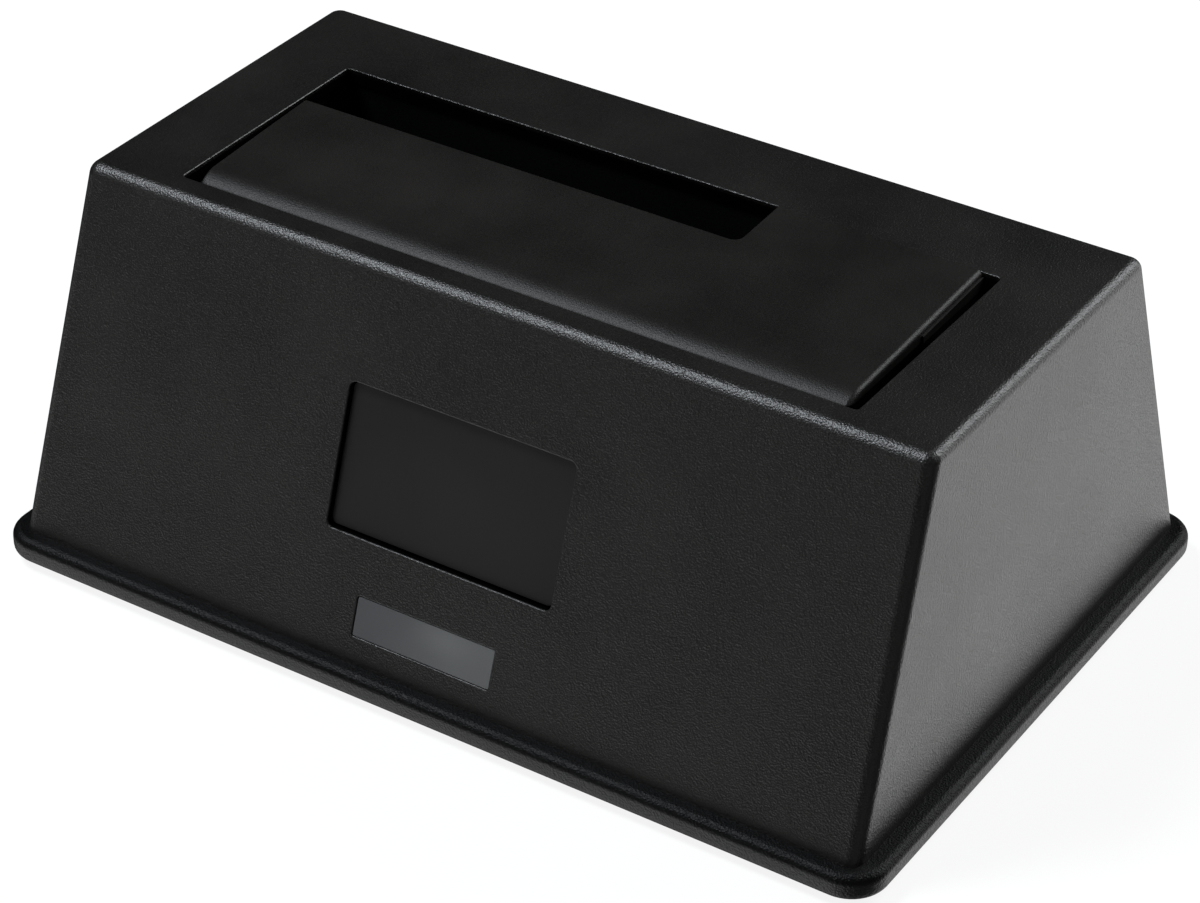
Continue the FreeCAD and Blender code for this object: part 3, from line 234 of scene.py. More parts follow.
def pick(piece, kind, test):
    """Opens a piece for editing with only its VERT, EDGE or FACE parts that pass a test selected."""
    only(piece)
    bpy.ops.object.mode_set(mode="EDIT")
    bpy.context.tool_settings.mesh_select_mode = [kind == each for each in ("VERT", "EDGE", "FACE")]
    bpy.ops.mesh.select_all(action="DESELECT")
    mesh = bmesh.from_edit_mesh(piece.data)
    mesh.select_mode = {kind}
    parts = {"VERT": mesh.verts, "EDGE": mesh.edges, "FACE": mesh.faces}[kind]
    for part in parts:
        if test(part):
            part.select_set(True)
    mesh.select_flush_mode()
    bmesh.update_edit_mesh(piece.data)


def done():
    bpy.ops.object.mode_set(mode="OBJECT")


def bevel(piece, width, segments, test):
    """Rounds the edges that pass a test of their two ends."""
    pick(piece, "EDGE", lambda edge: test(edge.verts[0].co, edge.verts[1].co))
    bpy.ops.mesh.bevel(offset=width, segments=segments, affect="EDGES", profile=0.5)
    done()


def upright(a, b):
    """Whether an edge stands, or leans a little."""
    return abs(a.z - b.z) > 0.8 * (a - b).length


hair = 0.001 * mm


def at_height(z):
    """A test of whether an edge lies level at a height."""
    return lambda a, b: max(abs(a.z - z), abs(b.z - z)) < hair


def together(pieces):
    """Several pieces as one object."""
    only(*pieces)
    if len(pieces) > 1:
        bpy.ops.object.join()
    return pieces[0]


def carve(piece, tool, operation="DIFFERENCE", crossing=False):
    """Cuts a tool out of a piece, or joins it on, and throws the tool away. Either may cross itself."""
    only(piece)
    cut = piece.modifiers.new("cut", "BOOLEAN")
    cut.operation = operation
    cut.solver = "EXACT"
    cut.use_self = crossing
    cut.object = tool
    bpy.ops.object.modifier_apply(modifier="cut")
    bpy.data.objects.remove(tool)


def tidy(piece, name):
    """Names a finished piece, points its faces outwards, and smooths its round stretches."""
    piece.name = name
    pick(piece, "VERT", lambda vert: True)
    bpy.ops.mesh.remove_doubles(threshold=hair / 2)
    bpy.ops.mesh.dissolve_degenerate(threshold=hair / 2)
    bpy.ops.mesh.normals_make_consistent(inside=False)
    done()
    bpy.ops.object.shade_smooth_by_angle(angle=math.radians(32))
    piece.modifiers.new("weights", "WEIGHTED_NORMAL").keep_sharp = True
    bpy.ops.object.modifier_apply(modifier="weights")


def hand_over(piece, body, slot, material, *nodes):
    """Paints a finished piece, puts it on its body and lets it stand for its solid nodes."""
    piece.data.materials.clear()
    piece.data.materials.append(material)
    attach(piece, body)
    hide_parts(*nodes)


base_low, base_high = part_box("base_cover")
skirt_low, roof_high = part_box("housing")
skirt = Vector((66.8, 45.5)) * mm
roof = Vector((65.2, 28.5)) * mm
bead_top = 4.8 * mm
roof_top = roof_high.z
wall = 2.2 * mm
slope = math.atan2(skirt.y - roof.y, roof_top - bead_top)
wall_leaning = wall / math.cos(slope)
base_floor = base_low.z + 2.0 * mm
lip_top = bead_top + 2.6 * mm
corner_radius = 5.5 * mm
bead_round = 1.3 * mm
corners = [(x, y) for x in (-1, 1) for y in (-1, 1)]
screw_places = [(x * 60.0 * mm, y * 28.0 * mm) for x, y in corners]
foot_places = [(x * 57.85 * mm, y * 37.35 * mm) for x, y in corners]
foot_radius = 5.0 * mm

base = block((base_low.x, base_low.y, base_low.z), (base_high.x, base_high.y, bead_top))
bevel(base, corner_radius, 12, upright)
bevel(base, bead_round, 6, at_height(bead_top))
bevel(base, bead_round, 6, at_height(base_low.z))

play = 0.15 * mm
lip_x = skirt.x - wall - play
lip_y = skirt.y - wall_leaning - play - (lip_top - bead_top) * math.tan(slope)
lip = block((-lip_x, -lip_y, base_floor), (lip_x, lip_y, lip_top))
bevel(lip, 3.0 * mm, 6, upright)
lens_gap_x = 13.25 * mm
panel_gap_x = 35.35 * mm
tower_top = 6.1 * mm
gaps = [block((-lens_gap_x, -skirt.y, bead_top), (lens_gap_x, -lip_y + 2 * mm, roof_top))]
gaps.append(block((-panel_gap_x, 36.15 * mm, bead_top), (panel_gap_x, skirt.y, roof_top)))
gaps.extend(post(x, y, tower_top, roof_top, 3.5 * mm) for x, y in screw_places)
carve(lip, together(gaps))
carve(base, lip, "UNION")

lip_wall = 1.5 * mm
tray_x = lip_x - lip_wall
tray_y = lip_y - lip_wall
tray = block((-tray_x, -tray_y, base_floor), (tray_x, tray_y, roof_top))
bevel(tray, 1.5 * mm, 6, upright)
carve(base, tray)

tower_foot = base_low.z + 0.5 * mm
board_under = 7.0 * mm
towers = [post(x, y, tower_foot, tower_top, 4.1 * mm) for x, y in screw_places]
board_screw_places = [(x * mm, y * mm) for x in (-47, 47) for y in (-33, 20)]
towers.extend(post(x, y, tower_foot, board_under, 2.9 * mm) for x, y in board_screw_places)
towers.extend(post(x * mm, 9.5 * mm, tower_foot, board_under, 2.0 * mm) for x in (-35, -5))
carve(base, together(towers), "UNION")

head_room = 3.1 * mm
head_depth = 4.5 * mm
screw_bore = 1.65 * mm
seat_top = base_low.z + 0.6 * mm
seat_radius = foot_radius + 0.1 * mm
holes = [post(x, y, 0, head_depth, head_room) for x, y in screw_places]
holes.extend(post(x, y, 0, seat_top, seat_radius, 64) for x, y in foot_places)
vent_pitch = 7 * mm
vent_half = Vector((1, 8)) * mm
for y in (-18 * mm, 2 * mm):
    for column in range(-3, 4):
        x = column * vent_pitch
        near = (x - vent_half.x, y - vent_half.y, 0)
        vent = block(near, (x + vent_half.x, y + vent_half.y, base_floor + mm))
        bevel(vent, 0.95 * mm, 5, upright)
        holes.append(vent)
carve(base, together(holes))
carve(base, together([post(x, y, 0, tower_top + mm, screw_bore) for x, y in screw_places]))
tidy(base, "base_cover_moulding")


def bead_upper_painted_shade(paint):
    """Painted shade on the bead's upper side, where it faces the dark housing."""
    return paint.along("Z").over(3.5 * mm, 4.1 * mm) * 0.62


base_dark = (0.0014, 0.0014, 0.0015)
base_pale = (0.0040, 0.0040, 0.0042)
# The bead gets painted shade on its upper side.
base_abs = spark_eroded(
    "base_abs", base_dark, base_pale, 0.28 * mm, 0.09 * mm, 0.43, 0.33, bead_upper_painted_shade
)
hand_over(base, "dock", "base_abs", base_abs, "base_cover")


# Rubber feet
# Four soft discs with a rounded sole, glued into round seats in the base.
foot_rubber = spark_eroded(
    "foot_rubber", (0.010, 0.010, 0.010), (0.018, 0.018, 0.018), 0.2 * mm, 0.01 * mm, 0.75
)
foot_names = ("foot_front_left", "foot_rear_left", "foot_front_right", "foot_rear_right")
for (x, y), node in zip(foot_places, foot_names):
    foot = post(x, y, 0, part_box(node)[1].z, foot_radius, 64)
    bevel(foot, 0.5 * mm, 5, at_height(0))
    tidy(foot, node + "_disc")
    hand_over(foot, "dock", "foot_rubber", foot_rubber, node)


# Drive flap
# The sprung door over the bay, one moulding with a satin skin. Its flat top rolls down into a
# round nose over the hinge. Ribs, knuckles, stops and a ledge are moulded on underneath; the spring
# seats are not built.
flap_low, flap_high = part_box("drive_flap")
opening_x = 52 * mm
opening_front = -24.1 * mm
opening_rear = 13.4 * mm
flap_left = -opening_x + 0.4 * mm
flap_right = opening_x - 2.6 * mm
flap_front = opening_front + 0.5 * mm
flap_rear = flap_high.y
flap_skin = 1.7 * mm
nose_radius = 6.0 * mm
flap_tilt = math.radians(2.5)
hinge_y = opening_front + 4.6 * mm
hinge_z = roof_top - 5.9 * mm
slot_right = 19.0 * mm
slot_front = 2.6 * mm


def flap_top(y):
    """The height of the flap's flat top at a place along Y."""
    return flap_high.z - math.tan(flap_tilt) * (flap_rear - y)


def on_open_side(face):
    """Whether a face looks straight left, right, to the front, to the rear or down."""
    return max(abs(face.normal.x), abs(face.normal.y), -face.normal.z) > 0.9999


def flap_sheet(outer, inner):
    """The flap's top and round nose, between two depths under its outer skin."""
    rear = flap_rear + 2 * mm
    sheet = block(
        (flap_left, flap_front, flap_top(flap_front) - nose_radius), (flap_right, rear, flap_top(rear))
    )
    pick(sheet, "VERT", lambda vert: vert.co.z > flap_high.z - mm and vert.co.y < 0)
    bpy.ops.transform.translate(value=(0, 0, flap_top(flap_front) - flap_top(rear)))
    done()
    roll = nose_radius / math.tan(math.pi / 4 + flap_tilt / 2)
    bevel(sheet, roll, 20, lambda a, b: max(a.y, b.y) < flap_front + hair and min(a.z, b.z) > hinge_z)
    pick(sheet, "FACE", on_open_side)
    bpy.ops.mesh.delete(type="FACE")
    bpy.ops.mesh.select_all(action="SELECT")
    bpy.ops.transform.shrink_fatten(value=-outer)
    done()
    shell = sheet.modifiers.new("shell", "SOLIDIFY")
    shell.thickness = inner - outer
    shell.offset = -1
    bpy.ops.object.modifier_apply(modifier="shell")
    pick(sheet, "VERT", lambda vert: True)
    bpy.ops.mesh.bisect(plane_co=(0, flap_rear, 0), plane_no=(0, 1, 0), use_fill=True, clear_outer=True)
    done()
    return sheet


def slot_corner(a, b):
    """Whether an edge is the slot's inner corner."""
    return upright(a, b) and a.x > slot_right - hair and a.y < slot_front + hair


def slot_room():
    """The room of the slot for the small drive, open at its left and its rear."""
    low = (flap_left - mm, slot_front, hinge_z - 4 * mm)
    room = block(low, (slot_right, flap_rear + mm, roof_top + mm))
    bevel(room, 1.5 * mm, 8, slot_corner)
    return room


def on_flap_end(a, b, end):
    """Whether an edge runs along an end of the flap's outer skin."""
    at_end = max(abs(a.x - end), abs(b.x - end)) < hair
    middle = (a + b) / 2
    nose_y = flap_front + nose_radius
    nose = Vector((middle.x, nose_y, flap_top(nose_y) - nose_radius))
    on_top = middle.y > nose_y and abs(middle.z - flap_top(middle.y)) < 0.05 * mm
    on_nose = middle.y <= nose_y + 0.3 * mm and (middle - nose).length > nose_radius - 0.1 * mm
    return at_end and (on_top or on_nose)


flap = flap_sheet(0, flap_skin)
bevel(flap, 0.35 * mm, 4, lambda a, b: on_flap_end(a, b, flap_left))
bevel(flap, 0.8 * mm, 6, lambda a, b: on_flap_end(a, b, flap_right))
carve(flap, slot_room())

rib = 1.4 * mm
margin = 0.05 * mm
rib_front = hinge_y + 2.5 * mm
rib_spans = [
    (flap_left + margin, flap_left + rib, rib_front, slot_front),
    (flap_right - rib, flap_right - margin, rib_front, flap_rear - margin),
    (flap_left + margin, slot_right + rib, slot_front - rib, slot_front - margin),
    (slot_right + margin, slot_right + rib, slot_front - rib, flap_rear - margin),
    (slot_right + rib / 2, flap_right - margin, flap_rear - rib, flap_rear - 2 * margin),
]
for n in range(1, 6):
    x = flap_left + (flap_right - flap_left) * n / 6
    rear = slot_front if x < slot_right else flap_rear
    rib_spans.append((x - rib / 2, x + rib / 2, rib_front, rear - rib / 2))
ribs = together([block((x0, y0, hinge_z), (x1, y1, roof_top)) for x0, x1, y0, y1 in rib_spans])
carve(ribs, flap_sheet(flap_skin / 2, flap_skin + 1.5 * mm), "INTERSECT", crossing=True)
carve(flap, ribs, "UNION")

knuckle_radius = 2.7 * mm
neck_half = 2.6 * mm
shaft_bore = 1.05 * mm
knuckles = [(-4 * mm, 4 * mm)]
for end, inward in ((flap_left, 1), (flap_right, -1)):
    knuckles.append((end + inward * margin, end + inward * 6.2 * mm))
    knuckles.append((end + inward * 14.6 * mm, end + inward * 21.4 * mm))
necks = []
barrels = []
for span in knuckles:
    low = (min(span), hinge_y - neck_half, hinge_z)
    necks.append(block(low, (max(span), hinge_y + neck_half, roof_top)))
    barrels.append(rod(min(span) + margin, max(span) - margin, hinge_y, hinge_z, knuckle_radius, 48))
necks = together(necks)
carve(necks, flap_sheet(flap_skin / 2, 5.5 * mm), "INTERSECT")
carve(flap, necks, "UNION")
carve(flap, together(barrels), "UNION")

stop_low = roof_top - wall - 1.8 * mm
stops = [
    (flap_right - rib / 2, flap_high.x, -1.05 * mm, 12.45 * mm),
    (flap_low.x, flap_left + rib / 2, -12.0 * mm, 2.0 * mm),
]
tabs = [block((x0, y0, stop_low), (x1, y1, stop_low + 1.6 * mm)) for x0, x1, y0, y1 in stops]
ledge_front = -3.0 * mm
ledge_rear = flap_rear - margin
ledge_top = flap_top(ledge_rear) - 0.85 * mm
ledge_low = (flap_right - rib / 2, ledge_front, stop_low + mm)
ledge = block(ledge_low, (flap_right + 0.3 * mm, ledge_rear, ledge_top))
pick(ledge, "VERT", lambda vert: vert.co.z > stop_low + 1.5 * mm and vert.co.y < 0)
bpy.ops.transform.translate(value=(0, 0, flap_top(ledge_front) - flap_top(ledge_rear)))
done()
carve(flap, together(tabs), "UNION")
carve(flap, ledge, "UNION")
carve(flap, rod(flap_left - mm, flap_right + mm, hinge_y, hinge_z, shaft_bore, 48))
tidy(flap, "drive_flap_moulding")


def painted_shade_below_flap_skin(paint):
    """Painted shade on the flap's stops and ribs under its skin, where little light reaches."""
    return 1 - paint.along("Z").over(roof_top - 2.35 * mm, roof_top - 2.1 * mm)


flap_dark = (0.0054, 0.0049, 0.0045)
flap_pale = (0.0146, 0.0132, 0.0121)
# The flap's stops and ribs get painted shade.
flap_abs = spark_eroded(
    "flap_abs", flap_dark, flap_pale, 0.20 * mm, 0.03 * mm, 0.40, 0.17, painted_shade_below_flap_skin
)
hand_over(flap, "flap", "flap_abs", flap_abs, "drive_flap")


# Housing
# The moulded upper shell, a hollow four-sided form with steep ends and a leaning front and back.
# The drive opening, the shallow recess, the light window and the upright port panel are cut in it.
def frustum(inset_x, inset_y, low, high):
    """The housing's form between two heights, with its ends and its front and back set in."""
    def half(z):
        share = (z - bead_top) / (roof_top - bead_top)
        return skirt + (roof - skirt) * share - Vector((inset_x, inset_y))

    piece = block((-half(low).x, -half(low).y, low), (half(low).x, half(low).y, high))
    pick(piece, "VERT", lambda vert: vert.co.z > (low + high) / 2)
    shrink = (half(high).x / half(low).x, half(high).y / half(low).y, 1)
    bpy.ops.transform.resize(value=shrink, center_override=(0, 0, high))
    done()
    return piece


def front_plate(width, height, down, radius, inner, outer):
    """A rounded plate on the leaning front, down the slope from the roof, between two depths."""
    plate = block((-width / 2, -down - height, inner), (width / 2, -down, outer))
    bevel(plate, radius, 6, upright)
    lean = Matrix.Rotation(math.pi / 2 - slope, 4, "X")
    plate.matrix_world = Matrix.Translation((0, -roof.y, roof_top)) @ lean
    return applied(plate)


def on_front(point):
    """How far a point stands out from the leaning front."""
    return (point.y + roof.y) * -math.cos(slope) + (point.z - roof_top) * math.sin(slope)


slope_length = (roof_top - bead_top) / math.cos(slope)
recess = Vector((35.4, 20.4)) * mm
recess_depth = 1.3 * mm
window = Vector((21.9, 5.7)) * mm
window_down = slope_length - 3.8 * mm - window.y
recess_down = window_down - 7.7 * mm - recess.y
panel_x = 33 * mm
panel_y = 38.5 * mm
behind_panel = panel_y - 3 * mm
before_panel = panel_y + mm
button_x = -23 * mm
button_z = 12.8 * mm

ridge_round = 1.9 * mm
roof_round = 1.45 * mm
housing = frustum(0, 0, bead_top, roof_top)
bevel(housing, ridge_round, 10, upright)
bevel(housing, roof_round, 10, at_height(roof_top))

cavity = frustum(wall, wall_leaning, bead_top - mm, roof_top - wall)
panel_wall_x = 35.2 * mm
inner = [block((-panel_wall_x, panel_y - wall, 0), (panel_wall_x, skirt.y + mm, roof_top))]
boss_foot = 6.2 * mm
boss_radius = 3.2 * mm
inner.extend(post(x, y, boss_foot, roof_top, boss_radius) for x, y in screw_places)
lug_places = [(x * mm, y * mm) for x in (-58.2, 58.2) for y in (-8, 10)]
lug_foot = 47.6 * mm
inner.extend(post(x, y, lug_foot, roof_top, 3.0 * mm) for x, y in lug_places)
carve(cavity, together(inner))
carve(housing, cavity)

half_cut = 2.5 * mm
opening_draft = math.radians(6)
opening = block(
    (-opening_x, opening_front, roof_top - half_cut), (opening_x, opening_rear, roof_top + half_cut)
)
bevel(opening, 0.6 * mm, 6, upright)
opening_middle = (0, (opening_front + opening_rear) / 2, roof_top)
for upper in (True, False):
    pick(opening, "VERT", lambda vert: (vert.co.z > roof_top) == upper)
    grow = (-1 if upper else 1) * half_cut * math.tan(opening_draft)
    stretch = (1 + grow / opening_x, 1 + 2 * grow / (opening_rear - opening_front), 1)
    bpy.ops.transform.resize(value=stretch, center_override=opening_middle)
    done()
cutters = [opening]
cutters.append(front_plate(recess.x, recess.y, recess_down, 1.0 * mm, -recess_depth, mm))
cutters.append(front_plate(window.x, window.y, window_down, 0.32 * mm, -2 * wall, mm))
cutters.append(block((-panel_x, panel_y, bead_top + 1.8 * mm), (panel_x, skirt.y + mm, roof_top)))
cutters.extend(post(x, y, 5 * mm, 18.2 * mm, 1.47 * mm) for x, y in screw_places)
carve(housing, together(cutters))

data_hole = block((-8.25 * mm, behind_panel, 8.35 * mm), (4.25 * mm, before_panel, 21.65 * mm))
power_hole = post(20 * mm, -15.1 * mm, behind_panel, before_panel, 3.95 * mm, 48)
power_hole.matrix_world = Matrix.Rotation(-math.pi / 2, 4, "X")
applied(power_hole)


def button_plate(grow, low, high):
    """The power button's rounded outline, grown by a gap, between two places along Y."""
    half = Vector((4.5, 2.5)) * mm + Vector((grow, grow))
    near = (button_x - half.x, low, button_z - half.y)
    plate = block(near, (button_x + half.x, high, button_z + half.y))
    bevel(plate, 1.2 * mm + grow, 6, lambda a, b: abs(a.y - b.y) > 0.9 * (a - b).length)
    return plate


carve(housing, together([data_hole, power_hole, button_plate(0.3 * mm, behind_panel, before_panel)]))


def opening_rim(a, b):
    inside = max(abs(a.x), abs(b.x)) < opening_x + 0.1 * mm and max(abs(a.y), abs(b.y)) < 25 * mm
    return at_height(roof_top)(a, b) and inside


def front_rim(a, b):
    level = max(abs(on_front(a)), abs(on_front(b))) < hair
    inside = max(abs(a.x), abs(b.x)) < recess.x / 2 + 0.1 * mm
    return level and inside and min(a.z, b.z) > bead_top + mm and max(a.z, b.z) < roof_top - 5 * mm


bevel(housing, 0.25 * mm, 3, opening_rim)
bevel(housing, 0.2 * mm, 3, front_rim)
tidy(housing, "housing_moulding")


def painted_shade_in_cuts(paint):
    """Painted shade on the walls of the opening, the recess and the window, where little light reaches.
    """
    x = abs(paint.along("X"))
    y = paint.along("Y")
    z = paint.along("Z")
    under_roof = 1 - z.over(roof_top - 0.8 * mm, roof_top - 0.45 * mm)
    height = under_roof * z.over(roof_top - 5 * mm, roof_top - 4 * mm)
    width = 1 - x.over(opening_x + 0.3 * mm, opening_x + 0.5 * mm)
    front = y.over(opening_front - 0.5 * mm, opening_front - 0.3 * mm)
    rear = 1 - y.over(opening_rear + 0.3 * mm, opening_rear + 0.5 * mm)
    depth = (y + roof.y) * math.cos(slope) - (z - roof_top) * math.sin(slope)
    sunk = depth.over(0.25 * mm, 0.4 * mm) * (1 - x.over(19 * mm, 20 * mm))
    low_front = (1 - y.over(-30 * mm, -29 * mm)) * (1 - z.over(roof_top - 6 * mm, roof_top - 5 * mm))
    return height * width * front * rear + sunk * low_front


housing_dark = (0.0028, 0.0026, 0.0024)
housing_pale = (0.0094, 0.0085, 0.0076)
# The walls of the cuts get painted shade.
housing_abs = spark_eroded(
    "housing_abs", housing_dark, housing_pale, 0.27 * mm, 0.065 * mm, 0.35, 0.48, painted_shade_in_cuts
)
hand_over(housing, "dock", "housing_abs", housing_abs, "housing")


# Plate in the recess
# A thin smooth plate glued to the floor of the front recess. It is bare.
gap = 0.12 * mm
plate_width = recess.x - 2 * gap
plate_height = recess.y - gap - 0.42 * mm
plate_face = 0.4 * mm - recess_depth
plate = front_plate(
    plate_width, plate_height, recess_down + gap, 0.94 * mm, -recess_depth, plate_face
)
bevel(plate, 0.06 * mm, 2, lambda a, b: max(on_front(a), on_front(b)) < plate_face + 0.01 * mm)
tidy(plate, "front_plate_smooth")
plate_abs = spark_eroded(
    "plate_abs", (0.0064, 0.0059, 0.0056), (0.0090, 0.0083, 0.0078), 0.2 * mm, 0.004 * mm, 0.40
)
hand_over(plate, "dock", "plate_abs", plate_abs, "nameplate")


# Light window
# A smoked lens that fills its cut-out, with a flange behind the wall that it is glued by. Its colour
# has painted light: paler towards the right and round one spot, where the light guide stands close
# behind it, with a random haze over that.
lens_depth = 0.16 * mm
lens = front_plate(
    window.x - 0.07 * mm,
    window.y - 0.06 * mm,
    window_down + 0.03 * mm,
    0.29 * mm,
    -wall - 0.5 * mm,
    -lens_depth,
)
bevel(lens, 0.1 * mm, 3, lambda a, b: min(on_front(a), on_front(b)) > -lens_depth - hair)
flange_out = 1.3 * mm
flange = front_plate(
    window.x + 2 * flange_out,
    window.y + 2 * flange_out,
    window_down - flange_out,
    1.15 * mm,
    -wall - mm,
    -wall,
)
carve(lens, flange, "UNION")
tidy(lens, "light_window_lens")
lens_paint = Paint("smoked_lens")
haze = lens_paint.noise(9 * mm, 1.0)
spot_x = 3.0 * mm
spot_z = 12.2 * mm
x = lens_paint.along("X")
aside = x - spot_x
rise = lens_paint.along("Z") - spot_z
off_spot = lens_paint.math("SQRT", aside * aside * 0.22 + rise * rise)
spot = 1 - off_spot.over(0.0, 3.2 * mm)
# Painted light: paler to the right and round the spot, plus a random haze.
lit = x.over(-11 * mm, 9 * mm) * 0.55 + haze * 0.25 + spot * 0.30
smoked_lens = lens_paint.finish(
    Base_Color=lens_paint.mix(lit, (0.080, 0.081, 0.084), (0.176, 0.178, 0.175)),
    Roughness=0.32 + (lens_paint.noise(0.5 * mm) - 0.5) * 0.1,
    IOR=1.49,
)
hand_over(lens, "dock", "smoked_lens", smoked_lens, "led_window")


# Power button
# A crowned cap that shows through the port panel, with a flange behind it and a stem to the switch.
button_face = panel_y + 2 * mm
flange_rear = panel_y - wall - 1.3 * mm
button = button_plate(0, flange_rear, button_face)
bevel(button, 0.5 * mm, 5, lambda a, b: min(a.y, b.y) > button_face - hair)
carve(button, button_plate(1.2 * mm, flange_rear, flange_rear + mm), "UNION")
stem_half = 1.5 * mm
stem_low = (button_x - stem_half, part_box("power_button")[0].y, button_z - stem_half)
stem = block(stem_low, (button_x + stem_half, flange_rear + 0.5 * mm, button_z + stem_half))
carve(button, stem, "UNION")
tidy(button, "power_button_cap")
button_abs = spark_eroded(
    "button_abs", (0.012, 0.012, 0.012), (0.017, 0.017, 0.017), 0.15 * mm, 0.006 * mm, 0.38
)
hand_over(button, "button", "button_abs", button_abs, "power_button")


# Springs
# Wound from hard steel wire. Two torsion springs on the shaft lift the flap, and would twist as it
# goes down. A small compression spring behind the power button would shorten as it is pushed in. All
# are built at rest.
def wire(name, points, thickness):
    """A round wire along a smooth line, as a mesh."""
    bpy.ops.curve.primitive_nurbs_path_add()
    piece = bpy.context.object
    piece.name = name
    curve = piece.data
    curve.splines.clear()
    line = curve.splines.new("NURBS")
    line.points.add(len(points) - 1)
    for spot, point in zip(line.points, points):
        spot.co = (*point, 1.0)
    line.order_u = 3
    line.use_endpoint_u = True
    curve.dimensions = "3D"
    curve.bevel_depth = thickness / 2
    curve.bevel_resolution = 3
    curve.resolution_u = 3
    curve.use_fill_caps = True
    applied(piece)
    bpy.ops.object.convert(target="MESH")
    return piece


def steel(name, color, rough, grain=0.4 * mm):
    """Drawn or turned metal with a fine uneven polish."""
    paint = Paint(name)
    streak = paint.noise(grain, 3.0)
    cloud = paint.noise(3 * mm, 2.0)
    pale = [min(1, 1.25 * c) for c in color]
    return paint.finish(
        Base_Color=paint.mix(cloud, color, pale), Metallic=1.0, Roughness=rough + (streak - 0.5) * 0.2
    )


spring_steel = steel("spring_steel", (0.42, 0.41, 0.40), 0.34)
coil_radius = 1.6 * mm
coil_pitch = 0.72 * mm
coil_turns = 4.25
arm = 8 * mm
leg = 11 * mm
steps = 16
for node, side in (("flap_spring_left", 1), ("flap_spring_right", -1)):
    low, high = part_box(node)
    seat_x = low.x + 0.25 * mm if side > 0 else high.x - 0.25 * mm
    seat_z = hinge_z + coil_radius
    points = [(seat_x, hinge_y + arm * share, seat_z) for share in (1, 0.7, 0.4, 0.1)]
    for n in range(1, round(coil_turns * steps)):
        angle = 2 * math.pi * n / steps
        x = seat_x + side * coil_pitch * n / steps
        y = hinge_y - coil_radius * math.sin(angle)
        points.append((x, y, hinge_z + coil_radius * math.cos(angle)))
    rest_x = seat_x + side * coil_pitch * coil_turns
    rest_y = hinge_y - coil_radius
    points.extend((rest_x, rest_y, hinge_z - leg * share) for share in (0.05, 0.35, 0.7, 1))
    spring = wire(node + "_wire", points, 0.5 * mm)
    tidy(spring, node + "_wire")
    spring.data.materials.append(spring_steel)
    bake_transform(spring)
    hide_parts(node)

low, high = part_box("button_spring")
push_turns = 4
push_radius = 1.1 * mm
push_end = 0.15 * mm
push_length = high.y - low.y - 2 * push_end
points = []
for n in range(push_turns * steps + 1):
    angle = 2 * math.pi * n / steps
    x = button_x + push_radius * math.cos(angle)
    y = low.y + push_end + push_length * n / (push_turns * steps)
    points.append((x, y, button_z + push_radius * math.sin(angle)))
push_spring = wire("button_spring_wire", points, 0.3 * mm)
tidy(push_spring, "button_spring_wire")
push_spring.data.materials.append(spring_steel)
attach(push_spring, "dock")
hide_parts("button_spring")
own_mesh(push_spring)


# Inner pieces
# The drive well, the board with its sockets and small parts, the shaft and the screws keep the
# shape that they were built with, and get their finishes here.
def board_green():
    """Fibreglass board under green lacquer, with faint copper runs and pads showing through."""
    paint = Paint("board")
    pattern = {"offset": 0.37, "squash": 1.6, "squash_frequency": 3}
    lines = {
        "Vector": paint.place,
        "Scale": 220.0,
        "Mortar Size": 0.018,
        "Mortar Smooth": 0.1,
        "Color1": (0, 0, 0),
        "Color2": (0, 0, 0),
        "Mortar": (1, 1, 1),
        "Brick Width": 0.7,
        "Row Height": 0.35,
    }
    runs = paint.node("ShaderNodeTexBrick", pattern, lines)
    weave = paint.noise(0.8 * mm, 2.0)
    green = paint.mix(weave, (0.012, 0.075, 0.035), (0.018, 0.095, 0.045))
    paint.bump(weave, 0.01 * mm)
    return paint.finish(
        Base_Color=paint.mix(runs * 0.6, green, (0.05, 0.19, 0.09)), Roughness=0.3 + weave * 0.15
    )


def cast(name, first, second, rough, size=0.5 * mm, depth=0.004 * mm, **more):
    """A moulded or pressed stuff with a slight mottle."""
    paint = Paint(name)
    mottle = paint.noise(size, 3.0)
    paint.bump(mottle, depth)
    return paint.finish(
        Base_Color=paint.mix(mottle, first, second), Roughness=rough + (mottle - 0.5) * 0.15, **more
    )


finishes = {
    "inner_abs": spark_eroded(
        "inner_abs", (0.0012, 0.0014, 0.0013), (0.0026, 0.0029, 0.0028), 0.3 * mm, 0.02 * mm, 0.62, 0.1
    ),
    "steel": steel("steel", (0.36, 0.36, 0.35), 0.40, 1.5 * mm),
    "spring_steel": spring_steel,
    "tinned_steel": steel("tinned_steel", (0.55, 0.55, 0.54), 0.36),
    "gold": steel("gold", (0.72, 0.50, 0.20), 0.26),
    "zinc_screws": steel("zinc_screws", (0.50, 0.51, 0.52), 0.34),
    "black_screws": steel("black_screws", (0.035, 0.035, 0.037), 0.42),
    "can_aluminium": steel("can_aluminium", (0.60, 0.60, 0.60), 0.34),
    "board": board_green(),
    "socket_black": cast("socket_black", (0.010, 0.010, 0.010), (0.016, 0.016, 0.016), 0.45),
    "insert_blue": cast("insert_blue", (0.010, 0.060, 0.30), (0.014, 0.075, 0.34), 0.42),
    "chip_black": cast("chip_black", (0.014, 0.014, 0.014), (0.022, 0.022, 0.021), 0.6, 0.15 * mm),
    "ferrite": cast("ferrite", (0.045, 0.043, 0.040), (0.065, 0.062, 0.058), 0.7, 0.3 * mm, 0.02 * mm),
    "ceramic": cast("ceramic", (0.32, 0.22, 0.13), (0.40, 0.28, 0.17), 0.4, 0.6 * mm),
    "clear_acrylic": cast(
        "clear_acrylic", (0.80, 0.82, 0.83), (0.86, 0.87, 0.88), 0.12, 2 * mm, 0.001 * mm,
        Transmission_Weight=0.85, IOR=1.49,
    ),
}
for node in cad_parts.values():
    for holder in node.material_slots:
        finish = holder.material.name.split(".")[0]
        if finish in finishes:
            holder.material = finishes[finish]


